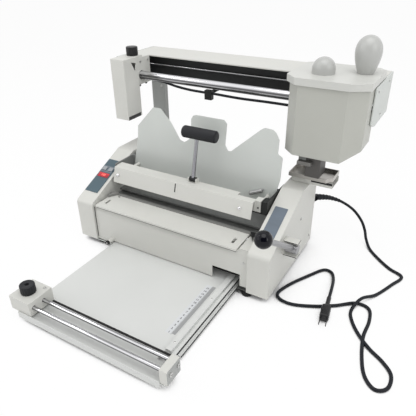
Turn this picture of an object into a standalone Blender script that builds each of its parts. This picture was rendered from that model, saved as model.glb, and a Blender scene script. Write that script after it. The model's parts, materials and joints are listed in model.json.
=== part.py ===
"""Thermal binding machine with a sliding glue pot, a flip-over book clamp and a pull-out creasing table.

Metres, +Z up. The machine stands on the ground plane; its front looks along -Y. Points below are measured
from the middle of the base (x), the front of the side housings (y) and the ground (z), and the finished
assembly is then moved so that its origin is the centre of its footprint.
"""

import math

import bmesh
import bpy
from mathutils import Matrix, Vector

# Clearances, sheet and small sizes shared by many pieces
GAP = 0.0003
RUNNING = 0.0005
SHEET = 0.002
OVERRUN = 0.004
ROUND_SIDES = 24
CORNER_STEPS = 4
ROUTE_STEPS = 24
DOME_STEPS = 7
BALL_STEPS = 10

# Base frame and feet
FOOT_RADIUS = 0.011
FOOT_HEIGHT = 0.010
FOOT_FRONT_X = 0.199
FOOT_FRONT_Y = 0.018
FOOT_REAR_X = 0.215
FOOT_REAR_INSET = 0.018
BASE_SHEET = 0.003
BASE_INSET = 0.003
BASE_REAR_MARGIN = 0.007
BASE_REAR_HALF = 0.229
BASE_CROSS_DEPTH = 0.036

# Side housings
HOUSING_OUTER_X = 0.250
HOUSING_WIDTH = 0.048
HOUSING_POST_GAP = 0.042
HOUSING_TOP_Z = 0.185
HOUSING_NOSE_Z = 0.110
SLOPE_END_Y = 0.165
NOSE_RADIUS = 0.010
KINK_RADIUS = 0.020

# Front panel
PANEL_Y = 0.006
PANEL_BOTTOM_Z = 0.0195
PANEL_FOLD_LOW_Z = 0.089
PANEL_FOLD_HIGH_Z = 0.101
PANEL_FOLD_DEPTH = 0.005
PANEL_TOP_DEPTH = 0.022
NOTCH_LEFT_X = 0.119
NOTCH_RIGHT_X = 0.184
NOTCH_TOP_Z = 0.048
BUMPER_X = -0.155
BUMPER_Z = 0.026
BUMPER_RADIUS = 0.0045
BUMPER_LENGTH = 0.022

# Nip: platform, front bar and their travel
NIP_TRAVEL = 0.025
PLATFORM_TOP_Z = 0.110
PLATFORM_SHEET = 0.003
PLATFORM_LEFT_X = -0.193
PLATFORM_RIGHT_X = 0.176
PLATFORM_DEPTH = 0.0655
PLATFORM_LIP = 0.005
SLOT_LEFT_X = -0.178
SLOT_RIGHT_X = 0.158
SLOT_MIDDLE_Y = 0.030
SLOT_LENGTH = 0.020
SLOT_WIDTH = 0.006
CARRIER_Y = 0.045
CARRIER_THICK = 0.012
CARRIER_BOTTOM_Z = 0.084
STUD_Z = 0.090
STUD_RADIUS = 0.005
STUD_REACH = 0.006
NIP_BAR_DEPTH = 0.009
NIP_BAR_BOTTOM_Z = 0.099
NIP_BAR_TOP_Z = 0.1115
GUIDE_WIDTH = 0.016
GUIDE_DEPTH = 0.022
GUIDE_HEIGHT = 0.006
LEDGE_WIDTH = 0.0235
LEDGE_TOP_Z = 0.108
LEDGE_DEPTH = 0.062

# Spine table and rear nip bar
SPINE_TOP_Z = 0.108
SPINE_THICK = 0.004
SPINE_FRONT_Y = 0.1015
REAR_NIP_FRONT_Y = 0.157
REAR_NIP_DEPTH = 0.008
REAR_NIP_TOP_Z = 0.128

# Flip-over clamp
PIVOT_Y = 0.1775
PIVOT_Z = 0.165
PIN_RADIUS = 0.008
CLAMP_SIDE_GAP = 0.002
ARM_THICK = 0.003
ARM_FRONT_Y = 0.092
ARM_TOP_Z = 0.179
ARM_BOTTOM_Z = 0.148
ARM_END_WIDTH = 0.013
ARM_END_DEPTH = 0.022
BACK_BOTTOM_Z = 0.140
BACK_TOP_Z = 0.307
BACK_BOTTOM_Y = 0.150
BACK_LEAN = 0.108
BACK_THICK = 0.002
BACK_SIDE_GAP = 0.001
BACK_TAB_WIDTH = 0.014
JAW_LEFT_X = -0.192
JAW_RIGHT_X = 0.173
JAW_BOTTOM_Y = 0.071
JAW_BOTTOM_Z = 0.141
JAW_TOP_Y = 0.081
JAW_TOP_Z = 0.177
JAW_SHEET = 0.003
BAR_FRONT_Y = 0.094
BAR_DEPTH = 0.018
BAR_BOTTOM_Z = 0.150
BAR_TOP_Z = 0.176
BAR_RIGHT_X = 0.185
BAR_ARM_GAP = 0.0015
JAW_TRAVEL = 0.036
GUIDE_PIN_INSET = 0.023
GUIDE_PIN_Z = 0.160
GUIDE_PIN_RADIUS = 0.004
GUIDE_PIN_END = 0.006

# Clamp lever
LEVER_X = 0.014
LEVER_Y = 0.106
LEVER_HUB_RADIUS = 0.0055
LEVER_HUB_WIDTH = 0.016
LEVER_HUB_RAISE = 0.006
LEVER_BACK_LEAN = 0.022
LEVER_RISE = 0.0995
LEVER_SHAFT_RADIUS = 0.0042
GRIP_CENTRE_X = 0.0205
GRIP_LENGTH = 0.084
GRIP_RADIUS = 0.0133
GRIP_END_RADIUS = 0.005

# Catch lever on the back plate
CATCH_X = 0.163
CATCH_Z = 0.172
CATCH_LENGTH = 0.030
CATCH_RADIUS = 0.0035
CATCH_NECK_SHARE = 0.85
CATCH_TILT = math.radians(25)
CATCH_STANDOFF = 0.007
CATCH_CLEARANCE = 0.004

# Gantry
POST_OUTER_X = 0.228
POST_WIDTH = 0.040
POST_OVERHANG = 0.006
POST_DEPTH = 0.014
POST_SHEET = 0.003
BEAM_TOP_Z = 0.398
BEAM_BOTTOM_Z = 0.338
BEAM_FRONT_Y = 0.303
BEAM_DEPTH = 0.079
BEAM_WALL = 0.003
COVER_OVERHANG = 0.021
COVER_LIP = 0.003
CAP_LEFT_X = -0.280
CAP_RIGHT_X = 0.350
CAP_SHEET = 0.003
CAP_OVERHANG = 0.075
CAP_FRONT_BOTTOM_Z = 0.325
CAP_BOTTOM_OVERHANG = 0.039
CAP_BOTTOM_Z = 0.311
CAP_FLANGE = 0.012
GUIDE_ROD_REACH = 0.064
GUIDE_ROD_Z = 0.358
GUIDE_ROD_RADIUS = 0.010
REAR_ROD_REACH = 0.0055
REAR_ROD_Z = 0.373
REAR_ROD_RADIUS = 0.0022

# Milling head
HEAD_LEFT_X = -0.251
HEAD_WIDTH = 0.040
HEAD_ROD_REACH = 0.067
HEAD_DEPTH = 0.054
HEAD_BOTTOM_Z = 0.260
HEAD_TOP_Z = 0.405
BRACKET_LEFT_X = -0.247
BRACKET_RIGHT_X = -0.213
BRACKET_BEHIND_ROD = 0.036
BRACKET_BOTTOM_Z = 0.336
BRACKET_TOP_Z = 0.400
HEAD_KNOB_X = -0.230
HEAD_KNOB_REACH = 0.009
HEAD_KNOB_RADIUS = 0.0140
HEAD_KNOB_HEIGHT = 0.020
HEAD_TAB_BEHIND_ROD = 0.007
CUTTER_RADIUS = 0.015
CUTTER_THICK = 0.005
CUTTER_DROP = 0.003
CUTTER_HUB_SHARE = 0.6
SPINDLE_RADIUS = 0.004
SPINDLE_BOSS_RADIUS = 0.012
SPINDLE_BOSS_Z = 0.290

# Glue pot
POT_LEFT_X = 0.189
POT_RIGHT_X = 0.346
POT_ROD_REACH = 0.067
POT_BEHIND_ROD = 0.018
POT_BOTTOM_Z = 0.257
POT_TOP_Z = 0.3997
POT_WALL = 0.0025
POT_CHAMFER_LEFT_X = 0.0250
POT_CHAMFER_LEFT_Y = 0.0250
POT_CHAMFER_RIGHT_X = 0.0345
POT_CHAMFER_RIGHT_Y = 0.0215
POT_ROD_CLEARANCE = 0.003
POT_SLANT_X = 0.3115
POT_SLANT_Z = 0.282
LID_LEFT_X = 0.183
LID_RIGHT_X = 0.349
LID_OVERHANG = 0.004
LID_BEHIND_ROD = 0.0835
LID_BOTTOM_Z = 0.4003
LID_THICK = 0.0145
LID_CORNER_SHARE = 0.09
DOME_X = 0.245
DOME_REACH = 0.013
DOME_RADIUS = 0.0225
DOME_HEIGHT = 0.031
HANDLE_X = 0.3165
HANDLE_BEHIND_ROD = 0.025
HANDLE_RADIUS = 0.0253
HANDLE_HEIGHT = 0.070
TANK_INSET = 0.010
TANK_FLOOR_Z = 0.262
TANK_TOP_Z = 0.330
TANK_WALL = 0.003
TANK_ROD_GAP = 0.015
SHOE_LEFT_X = 0.241
SHOE_WIDTH = 0.031
SHOE_BOTTOM_Z = 0.2090
SHOE_INSET = 0.014
SHOE_DEPTH = 0.040
ROLLER_RADIUS = 0.010
ROLLER_LENGTH = 0.028
ROLLER_INSET = 0.030
ROLLER_Z = 0.2415
GATE_LEFT_X = 0.2255
GATE_WIDTH = 0.030
GATE_THICK = 0.004
GATE_DEPTH = 0.012

# Drip tray
TRAY_LEFT_X = 0.203
TRAY_WIDTH = 0.094
TRAY_FRONT_Y = 0.195
TRAY_DEPTH = 0.058
TRAY_TOP_Z = 0.207
TRAY_HEIGHT = 0.009
TRAY_WALL = 0.0015
TRAY_CHAMFER = 0.012
TRAY_STAND_WIDTH = 0.090
TRAY_STAND_INSET = 0.006

# Control panel
CONTROL_LEFT_X = -0.248
CONTROL_WIDTH = 0.038
CONTROL_LOW_Y = 0.030
CONTROL_HIGH_Y = 0.126
CONTROL_THICK = 0.0012
CONTROL_FRAME = 0.0010
DISPLAY_START_SHARE = 0.46
DISPLAY_END_SHARE = 0.56
KEY_LENGTH = 0.010
KEY_WIDTH = 0.012
KEY_RAISE = 0.0012
KEY_TRAVEL = 0.0006
KEY_SHARE = 0.70

# Side lever
SIDE_HUB_Y = 0.070
SIDE_HUB_Z = 0.104
SIDE_ROD_X = 0.268
SIDE_HUB_RADIUS = 0.0100
SIDE_HUB_WIDTH = 0.024
SIDE_SHAFT_RADIUS = 0.006
SIDE_SHAFT_INNER_X = 0.216
SIDE_LEVER_LENGTH = 0.188
SIDE_LEVER_ANGLE = math.radians(35.5)
SIDE_ROD_THICK_RADIUS = 0.0062
SIDE_ROD_THIN_RADIUS = 0.0050
SIDE_BALL_RADIUS = 0.0158
SIDE_NECK_RADIUS = 0.0080
SIDE_NECK_LENGTH = 0.012
CRANK_THICK = 0.005
CRANK_LENGTH = 0.024
FORK_SHEET = 0.0025
FORK_REACH = 0.031
FORK_FRONT_Y = 0.063
FORK_REAR_Y = 0.081
FORK_BOTTOM_Z = 0.087
FORK_TOP_Z = 0.121

# Creasing table
TABLE_TOP_Z = 0.017
TABLE_LEFT_X = -0.152
TABLE_RIGHT_X = 0.148
TABLE_FRONT_Y = -0.275
TABLE_REAR_Y = 0.040
GROOVE_LEFT_X = 0.137
GROOVE_WIDTH = 0.006
GROOVE_FRONT_Y = -0.172
GROOVE_REAR_Y = -0.023
RAIL_A_LEFT_X = 0.150
RAIL_A_WIDTH = 0.012
RAIL_A_TOP_Z = 0.022
RAIL_A_FRONT_Y = -0.212
RAIL_B_LEFT_X = 0.164
RAIL_B_WIDTH = 0.010
RAIL_REAR_Y = -0.025
RUNNER_WIDTH = 0.007
RUNNER_BOTTOM_Z = 0.0053
RUNNER_TOP_Z = 0.0100
RUNNER_FRONT_Y = -0.205
RUNNER_RIGHT_X = 0.177
TRACK_SHEET = 0.002
TRACK_LENGTH = 0.240
LIP_BOTTOM_Z = 0.008
LIP_TOP_Z = 0.022
LIP_RIGHT_X = 0.182
ANVIL_Y = -0.2205
ANVIL_WIDTH = 0.005
ANVIL_TOP_Z = 0.020
ANVIL_LEFT_X = -0.150
ANVIL_RIGHT_X = 0.170
ROD_RADIUS = 0.004
ROD_Z = 0.0365
ROD_REAR_Y = -0.239
ROD_FRONT_Y = -0.2635
END_BLOCK_LEFT_X = 0.181
END_BLOCK_WIDTH = 0.0165
END_BLOCK_TOP_Z = 0.0495
LEFT_BLOCK_WIDTH = 0.007
LEFT_BLOCK_EDGE = 0.002
LEFT_BLOCK_TOP_Z = 0.044

# Creasing carriage
CARRIAGE_LEFT_X = -0.172
CARRIAGE_WIDTH = 0.054
CARRIAGE_FRONT_Y = -0.2743
CARRIAGE_DEPTH = 0.0585
CARRIAGE_BOTTOM_Z = 0.0205
CARRIAGE_TOP_Z = 0.052
CARRIAGE_WALL = 0.002
CARRIAGE_BEARING = 0.014
WHEEL_RADIUS = 0.007
WHEEL_THICK = 0.003
WHEEL_X = -0.142
WHEEL_AXLE_RADIUS = 0.002
KNOB_X = -0.1470
KNOB_Y = -0.2475
KNOB_RADIUS = 0.0148
KNOB_HEIGHT = 0.018
KNOB_STEM_RADIUS = 0.003
KNOB_STEM_LENGTH = 0.004
KNOB_LOBES = 18
KNOB_LOBE_DEPTH = 0.0007
KNOB_EDGE = 0.0015

# Moving cables of the heads and their clip
CABLE_RADIUS = 0.003
CABLE_OVERHANG = 0.033
POT_CABLE_GAP = 0.004
CABLE_SAG = 0.003
CABLE_POINTS = 14
CLIP_X = -0.0395
CLIP_Z = 0.3275
CLIP_WIDTH = 0.019
CLIP_SHEET = 0.002
CLIP_FRONT_REACH = 0.005
CLIP_REAR_REACH = 0.007
CLIP_ABOVE = 0.0070
CLIP_BELOW = 0.0155
POT_LUG_WIDTH = 0.006

# Mains cord
CORD_RADIUS = 0.0033
CORD_X = 0.238
CORD_Z = 0.105
RELIEF_RADIUS = 0.0085
RELIEF_LENGTH = 0.032
RELIEF_FLANGE = 0.011
RELIEF_FLANGE_THICK = 0.004
RELIEF_RIBS = 4
RELIEF_TAPER_SHARE = 0.25
RELIEF_GROOVE_SHARE = 0.35
RELIEF_RIB_SHARES = (0.1, 0.6, 0.65, 0.95)
PLUG_LENGTH = 0.034
PLUG_WIDTH = 0.018
PLUG_HEIGHT = 0.019
PLUG_NECK_LENGTH = 0.030
PLUG_STEM_SHARE = 1.3
PLUG_SHOULDER_SHARE = 0.46
BLADE_LENGTH = 0.017
BLADE_WIDTH = 0.0064
BLADE_THICK = 0.0016
BLADE_SPACING = 0.0127
PLUG_HEADING = math.radians(-82)

# Outline of the back plate, as shares of its half width and of its height
BACK_OUTLINE_SHARES = (
    (-0.955, 0.0),
    (-0.947, 0.115),
    (-0.89, 0.543),
    (-0.886, 0.701),
    (-0.659, 1.0),
    (-0.551, 1.0),
    (-0.409, 0.841),
    (-0.273, 0.616),
    (-0.217, 0.599),
    (-0.163, 0.639),
    (-0.124, 0.69),
    (-0.13, 0.935),
    (-0.105, 0.985),
    (-0.07, 1.0),
    (0.289, 1.0),
    (0.328, 0.956),
    (0.32, 0.676),
    (0.36, 0.6),
    (0.4, 0.61),
    (0.74, 0.973),
    (0.772, 0.992),
    (0.862, 0.985),
    (0.898, 0.955),
    (0.943, 0.873),
    (0.943, 0.695),
    (1.0, 0.66),
    (1.0, 0.36),
    (0.98, 0.25),
    (0.975, 0.156),
    (0.975, 0.0),
)

# Corners of the slot in the milling head's right wall, as shares of the case's depth and height
HEAD_SLOT_SHARES = ((0.52, 0.927), (0.835, 0.899), (0.75, 0.77))

# Profile of the push handle, as shares of its widest radius and of its height
HANDLE_PROFILE_SHARES = (
    (0.0, 1.0),
    (0.28, 0.985),
    (0.52, 0.94),
    (0.74, 0.865),
    (0.90, 0.765),
    (0.985, 0.65),
    (1.0, 0.55),
    (0.97, 0.43),
    (0.90, 0.31),
    (0.80, 0.18),
    (0.68, 0.06),
    (0.63, 0.0),
)

# Drop of each lead below its clip along its length, as shares of the sag; less than zero is above the clip
HEAD_CABLE_SAG_SHARES = (-4.6, -3.6, -1.5, -0.3, 0.0)
POT_CABLE_SAG_SHARES = (0.0, 0.2, -0.5, -0.9)

# Route of the mains cord from the strain relief to the plug
CORD_ROUTE = (
    (0.238, 0.291, 0.105),
    (0.256, 0.318, 0.100),
    (0.270, 0.334, 0.093),
    (0.293, 0.346, 0.083),
    (0.321, 0.352, 0.066),
    (0.344, 0.350, 0.044),
    (0.358, 0.342, 0.024),
    (0.368, 0.322, 0.0120),
    (0.385, 0.295, 0.0036),
    (0.414, 0.263, 0.0036),
    (0.441, 0.240, 0.0036),
    (0.469, 0.223, 0.0036),
    (0.462, 0.220, 0.0036),
    (0.456, 0.186, 0.0036),
    (0.434, 0.136, 0.0036),
    (0.412, 0.100, 0.0110),
    (0.402, 0.066, 0.0036),
    (0.410, 0.038, 0.0036),
    (0.430, 0.008, 0.0036),
    (0.456, -0.018, 0.0036),
    (0.484, -0.038, 0.0036),
    (0.502, -0.060, 0.0036),
    (0.502, -0.090, 0.0036),
    (0.484, -0.102, 0.0036),
    (0.463, -0.082, 0.0036),
    (0.449, -0.042, 0.0036),
    (0.440, 0.006, 0.0036),
    (0.440, 0.052, 0.0036),
    (0.431, 0.086, 0.0036),
    (0.404, 0.090, 0.0036),
    (0.372, 0.064, 0.0036),
    (0.334, 0.040, 0.0036),
    (0.294, 0.024, 0.0036),
    (0.266, 0.027, 0.0036),
    (0.256, 0.044, 0.0036),
    (0.268, 0.082, 0.0036),
    (0.292, 0.128, 0.0036),
    (0.314, 0.164, 0.0036),
    (0.332, 0.164, 0.0036),
    (0.343, 0.142, 0.0045),
    (0.350, 0.106, 0.0097),
    (0.355, 0.070, 0.0120),
)
CORD_POINTS = 76

# Sizes that follow from the ones above
BEAM_REAR_Y = BEAM_FRONT_Y + BEAM_DEPTH
COVER_FRONT_Y = BEAM_FRONT_Y - COVER_OVERHANG
CAP_FRONT_Y = BEAM_FRONT_Y - CAP_OVERHANG
CAP_BOTTOM_Y = BEAM_FRONT_Y - CAP_BOTTOM_OVERHANG
GUIDE_ROD_Y = BEAM_FRONT_Y - GUIDE_ROD_REACH
REAR_ROD_Y = BEAM_FRONT_Y - REAR_ROD_REACH
POST_FRONT_Y = BEAM_FRONT_Y - POST_OVERHANG
HOUSING_DEPTH = POST_FRONT_Y - HOUSING_POST_GAP
BASE_REAR_Y = POST_FRONT_Y + POST_DEPTH + BASE_REAR_MARGIN
FOOT_REAR_Y = BASE_REAR_Y - FOOT_REAR_INSET
HEAD_FRONT_Y = GUIDE_ROD_Y - HEAD_ROD_REACH
BRACKET_REAR_Y = GUIDE_ROD_Y + BRACKET_BEHIND_ROD
HEAD_KNOB_Y = GUIDE_ROD_Y - HEAD_KNOB_REACH
HEAD_TAB_REAR_Y = GUIDE_ROD_Y + HEAD_TAB_BEHIND_ROD
POT_FRONT_Y = GUIDE_ROD_Y - POT_ROD_REACH
POT_REAR_Y = GUIDE_ROD_Y + POT_BEHIND_ROD
LID_FRONT_Y = POT_FRONT_Y - LID_OVERHANG
LID_REAR_Y = GUIDE_ROD_Y + LID_BEHIND_ROD
DOME_Y = GUIDE_ROD_Y - DOME_REACH
HANDLE_Y = GUIDE_ROD_Y + HANDLE_BEHIND_ROD
TANK_REAR_Y = GUIDE_ROD_Y - TANK_ROD_GAP
SHOE_FRONT_Y = POT_FRONT_Y + SHOE_INSET
ROLLER_Y = SHOE_FRONT_Y + ROLLER_INSET
HEAD_CABLE_Y = BEAM_FRONT_Y - CABLE_OVERHANG
POT_CABLE_Y = POT_REAR_Y + POT_CABLE_GAP
CLIP_FRONT_Y = HEAD_CABLE_Y - CLIP_FRONT_REACH
CLIP_REAR_Y = HEAD_CABLE_Y + CLIP_REAR_REACH
BASE_TOP_Z = FOOT_HEIGHT + BASE_SHEET
HOUSING_INNER_X = HOUSING_OUTER_X - HOUSING_WIDTH
HOUSING_BOTTOM_Z = BASE_TOP_Z + GAP
SLOPE = (HOUSING_TOP_Z - HOUSING_NOSE_Z) / SLOPE_END_Y
CLAMP_HALF = HOUSING_INNER_X - CLAMP_SIDE_GAP
BACK_HALF_WIDTH = CLAMP_HALF - BACK_SIDE_GAP
GUIDE_PIN_X = BACK_HALF_WIDTH - GUIDE_PIN_INSET
BEAM_SPAN_LEFT = CAP_LEFT_X + CAP_SHEET + GAP
BEAM_SPAN_RIGHT = CAP_RIGHT_X - CAP_SHEET - GAP
TABLE_BOTTOM_Z = TABLE_TOP_Z - SHEET
FOOTPRINT_X = (CAP_LEFT_X + CAP_RIGHT_X) / 2
FOOTPRINT_Y = (TABLE_FRONT_Y - SHEET + BEAM_REAR_Y) / 2

# Colours as linear RGB, roughness and metallic value
PAINTS = {
    "warm_grey_paint": ((0.62, 0.62, 0.58), 0.45, 0.0),
    "cool_grey_paint": ((0.52, 0.55, 0.53), 0.45, 0.0),
    "pot_paint": ((0.43, 0.44, 0.40), 0.50, 0.0),
    "steel": ((0.55, 0.55, 0.54), 0.30, 1.0),
    "chrome": ((0.75, 0.75, 0.76), 0.12, 1.0),
    "black_steel": ((0.03, 0.03, 0.03), 0.45, 0.5),
    "black_plastic": ((0.02, 0.02, 0.02), 0.35, 0.0),
    "rubber": ((0.015, 0.015, 0.015), 0.80, 0.0),
    "grey_plastic": ((0.42, 0.42, 0.41), 0.35, 0.0),
    "teal_film": ((0.06, 0.11, 0.13), 0.40, 0.0),
    "aluminium": ((0.65, 0.65, 0.66), 0.35, 1.0),
}

PLACES = {}


def clear_scene():
    for obj in list(bpy.data.objects):
        bpy.data.objects.remove(obj)


def new_collection(name, hidden=False):
    collection = bpy.data.collections.new(name)
    bpy.context.scene.collection.children.link(collection)
    collection.hide_render = hidden
    return collection


def paint(name):
    """Makes each material once, on its first use."""
    found = bpy.data.materials.get(name)
    if found:
        return found
    colour, roughness, metallic = PAINTS[name]
    made = bpy.data.materials.new(name)
    made.use_nodes = True
    shader = made.node_tree.nodes["Principled BSDF"]
    shader.inputs["Base Color"].default_value = (*colour, 1)
    shader.inputs["Roughness"].default_value = roughness
    shader.inputs["Metallic"].default_value = metallic
    return made


def pivot(name, place, parent):
    """An empty on a joint's axis; what moves with that joint hangs from it."""
    empty = bpy.data.objects.new(name, None)
    bpy.context.scene.collection.objects.link(empty)
    empty.location = place
    if parent is not None:
        empty.parent = parent
        empty.matrix_parent_inverse = Matrix.Translation(-PLACES[parent.name])
    PLACES[name] = Vector(place)
    return empty


def keep(obj, name, finish, parent):
    """Names a finished piece, paints it and hangs it from its pivot."""
    obj.name = name
    obj.data.materials.clear()
    obj.data.materials.append(paint(finish))
    obj.parent = parent
    obj.matrix_parent_inverse = Matrix.Translation(-PLACES[parent.name])
    return obj


def add_mesh(mesh, place=(0, 0, 0)):
    obj = bpy.data.objects.new("shape", mesh)
    obj.location = place
    PARTS.objects.link(obj)
    return obj


def box(low, high, edge=0):
    """A block between two corners, with its edges rounded by edge."""
    low = Vector(low)
    high = Vector(high)
    shape = bmesh.new()
    bmesh.ops.create_cube(shape, size=1)
    bmesh.ops.scale(shape, vec=high - low, verts=shape.verts)
    mesh = bpy.data.meshes.new("box")
    shape.to_mesh(mesh)
    shape.free()
    obj = add_mesh(mesh, (low + high) / 2)
    if edge:
        round_edges(obj, edge)
    return obj


def round_edges(obj, width, segments=2, angle=math.radians(35)):
    bevel = obj.modifiers.new("Rounded edges", "BEVEL")
    bevel.width = width
    bevel.segments = segments
    bevel.limit_method = "ANGLE"
    bevel.angle_limit = angle
    return obj


def smooth(obj, angle=math.radians(35)):
    obj.data.shade_smooth()
    obj.data.set_sharp_from_angle(angle=angle)
    return obj


def rod(start, end, radius, end_radius=None, sides=ROUND_SIDES):
    """A cylinder or a taper between two points."""
    start = Vector(start)
    end = Vector(end)
    shape = bmesh.new()
    bmesh.ops.create_cone(
        shape,
        cap_ends=True,
        segments=sides,
        radius1=radius,
        radius2=radius if end_radius is None else end_radius,
        depth=(end - start).length,
    )
    mesh = bpy.data.meshes.new("rod")
    shape.to_mesh(mesh)
    shape.free()
    obj = add_mesh(mesh, (start + end) / 2)
    obj.rotation_mode = "QUATERNION"
    obj.rotation_quaternion = (end - start).to_track_quat("Z", "Y")
    return smooth(obj)


def as_mesh(curve_obj):
    """Turns a curve object into a closed mesh object at the same place."""
    bpy.context.view_layer.update()
    graph = bpy.context.evaluated_depsgraph_get()
    mesh = bpy.data.meshes.new_from_object(curve_obj.evaluated_get(graph))
    shape = bmesh.new()
    shape.from_mesh(mesh)
    bmesh.ops.remove_doubles(shape, verts=shape.verts, dist=1e-6)
    bmesh.ops.recalc_face_normals(shape, faces=shape.faces)
    shape.to_mesh(mesh)
    shape.free()
    obj = bpy.data.objects.new("shape", mesh)
    obj.matrix_world = curve_obj.matrix_world.copy()
    PARTS.objects.link(obj)
    bpy.data.objects.remove(curve_obj)
    return obj


# Turn of a flat outline so that its own Z runs along the named axis: X takes (y, z) points, Y takes (x, z)
# points and Z takes (x, y) points.
OUTLINE_TURNS = {
    "X": Matrix(((0, 0, 1, 0), (1, 0, 0, 0), (0, 1, 0, 0), (0, 0, 0, 1))),
    "Y": Matrix(((1, 0, 0, 0), (0, 0, -1, 0), (0, 1, 0, 0), (0, 0, 0, 1))),
    "Z": Matrix.Identity(4),
}


def outline(points, axis, low, high, holes=()):
    """A flat outline, with any holes, thickened from low to high along an axis."""
    curve = bpy.data.curves.new("outline", "CURVE")
    curve.dimensions = "2D"
    curve.fill_mode = "BOTH"
    curve.extrude = (high - low) / 2
    for loop in (points, *holes):
        spline = curve.splines.new("POLY")
        spline.points.add(len(loop) - 1)
        for point, (u, v) in zip(spline.points, loop):
            point.co = (u, v, 0, 1)
        spline.use_cyclic_u = True
    obj = bpy.data.objects.new("outline", curve)
    PARTS.objects.link(obj)
    middle = (low + high) / 2
    along = {"X": (middle, 0, 0), "Y": (0, middle, 0), "Z": (0, 0, middle)}[axis]
    obj.matrix_world = Matrix.Translation(along) @ OUTLINE_TURNS[axis]
    return as_mesh(obj)


def rounded(points, radii, steps=CORNER_STEPS):
    """The outline with each corner replaced by an arc of its radius; 0 keeps a corner sharp."""
    loop = []
    count = len(points)
    for index, radius in enumerate(radii):
        corner = Vector(points[index])
        if not radius:
            loop.append(tuple(corner))
            continue
        before = (Vector(points[index - 1]) - corner).normalized()
        after = (Vector(points[(index + 1) % count]) - corner).normalized()
        half = before.angle(after) / 2
        reach = radius / math.tan(half)
        centre = corner + (before + after).normalized() * radius / math.sin(half)
        first = corner + before * reach - centre
        last = corner + after * reach - centre
        turn = math.atan2(first.x * last.y - first.y * last.x, first.dot(last))
        for step in range(steps + 1):
            spun = Matrix.Rotation(turn * step / steps, 2) @ first
            loop.append(tuple(centre + spun))
    return loop


def folded(path, thickness, low_x, high_x, side=1):
    """Sheet folded along a (y, z) path and running from low_x to high_x.

    Its thickness lies to the right of the path, seen with +Y to the right and +Z up, or to the left with side -1.
    """
    shape = bmesh.new()
    rows = [[shape.verts.new((x, y, z)) for y, z in path] for x in (low_x, high_x)]
    for index in range(len(path) - 1):
        shape.faces.new((rows[0][index], rows[0][index + 1], rows[1][index + 1], rows[1][index]))
    mesh = bpy.data.meshes.new("sheet")
    shape.to_mesh(mesh)
    shape.free()
    obj = add_mesh(mesh)
    solid = obj.modifiers.new("Sheet thickness", "SOLIDIFY")
    solid.thickness = thickness
    solid.offset = side
    solid.use_even_offset = True
    return obj


def turned(profile, place, direction=(0, 0, 1), sides=ROUND_SIDES):
    """A turned solid from a (radius, height) profile that runs from its top to its bottom."""
    shape = bmesh.new()
    verts = [shape.verts.new((radius, 0, height)) for radius, height in profile]
    for first, second in zip(verts, verts[1:]):
        shape.edges.new((first, second))
    mesh = bpy.data.meshes.new("profile")
    shape.to_mesh(mesh)
    shape.free()
    obj = add_mesh(mesh, place)
    screw = obj.modifiers.new("Turned", "SCREW")
    screw.steps = sides
    screw.render_steps = sides
    screw.use_merge_vertices = True
    screw.merge_threshold = 0.00001
    screw.use_smooth_shade = True
    obj.rotation_mode = "QUATERNION"
    obj.rotation_quaternion = Vector(direction).to_track_quat("Z", "Y")
    return obj


def tube(points, radius, resolution=2):
    curve = bpy.data.curves.new("tube", "CURVE")
    curve.dimensions = "3D"
    curve.bevel_depth = radius
    curve.bevel_resolution = resolution
    curve.use_fill_caps = True
    spline = curve.splines.new("POLY")
    spline.points.add(len(points) - 1)
    for point, place in zip(spline.points, points):
        point.co = (*place, 1)
    obj = bpy.data.objects.new("tube", curve)
    PARTS.objects.link(obj)
    return obj


def smooth_route(route, count):
    """count points, evenly spaced, on a smooth curve through the route's points."""
    route = [Vector(p) for p in route]
    ends = [route[0] * 2 - route[1], *route, route[-1] * 2 - route[-2]]
    fine = []
    for index in range(1, len(ends) - 2):
        a, b, c, d = ends[index - 1 : index + 3]
        for step in range(ROUTE_STEPS):
            t = step / ROUTE_STEPS
            fine.append(
                (b * 2 + (c - a) * t + (a * 2 - b * 5 + c * 4 - d) * t**2 + (b * 3 - a - c * 3 + d) * t**3) / 2
            )
    fine.append(route[-1])
    lengths = [0]
    for first, second in zip(fine, fine[1:]):
        lengths.append(lengths[-1] + (second - first).length)
    points = []
    index = 0
    for step in range(count):
        wanted = lengths[-1] * step / (count - 1)
        while index < len(fine) - 2 and lengths[index + 1] < wanted:
            index += 1
        share = (wanted - lengths[index]) / (lengths[index + 1] - lengths[index])
        points.append(fine[index].lerp(fine[index + 1], min(max(share, 0), 1)))
    return points


def combine(obj, other, operation):
    """Joins or cuts obj with other, which is kept aside as a cutter."""
    for collection in list(other.users_collection):
        collection.objects.unlink(other)
    CUTTERS.objects.link(other)
    other.hide_render = True
    other.display_type = "WIRE"
    boolean = obj.modifiers.new(operation.title(), "BOOLEAN")
    boolean.operation = operation
    boolean.solver = "EXACT"
    boolean.object = other
    return obj


def cut(obj, *others):
    for other in others:
        combine(obj, other, "DIFFERENCE")
    return obj


def join(obj, *others):
    for other in others:
        combine(obj, other, "UNION")
    return obj


def fluted(radius, lobes, depth):
    """The outline of a knob with finger grooves round its rim."""
    points = []
    for step in range(lobes * 4):
        angle = 2 * math.pi * step / (lobes * 4)
        reach = radius - depth * (1 - math.cos(lobes * angle)) / 2
        points.append((reach * math.cos(angle), reach * math.sin(angle)))
    return points


def slope_point(y, lift):
    """A point on the housings' slope, lifted square to it, as (y, z)."""
    normal = Vector((-SLOPE, 1)).normalized()
    return (y + normal.x * lift, HOUSING_NOSE_Z + SLOPE * y + normal.y * lift)


def back_plate_y(z):
    return BACK_BOTTOM_Y + (z - BACK_BOTTOM_Z) * BACK_LEAN


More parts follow.
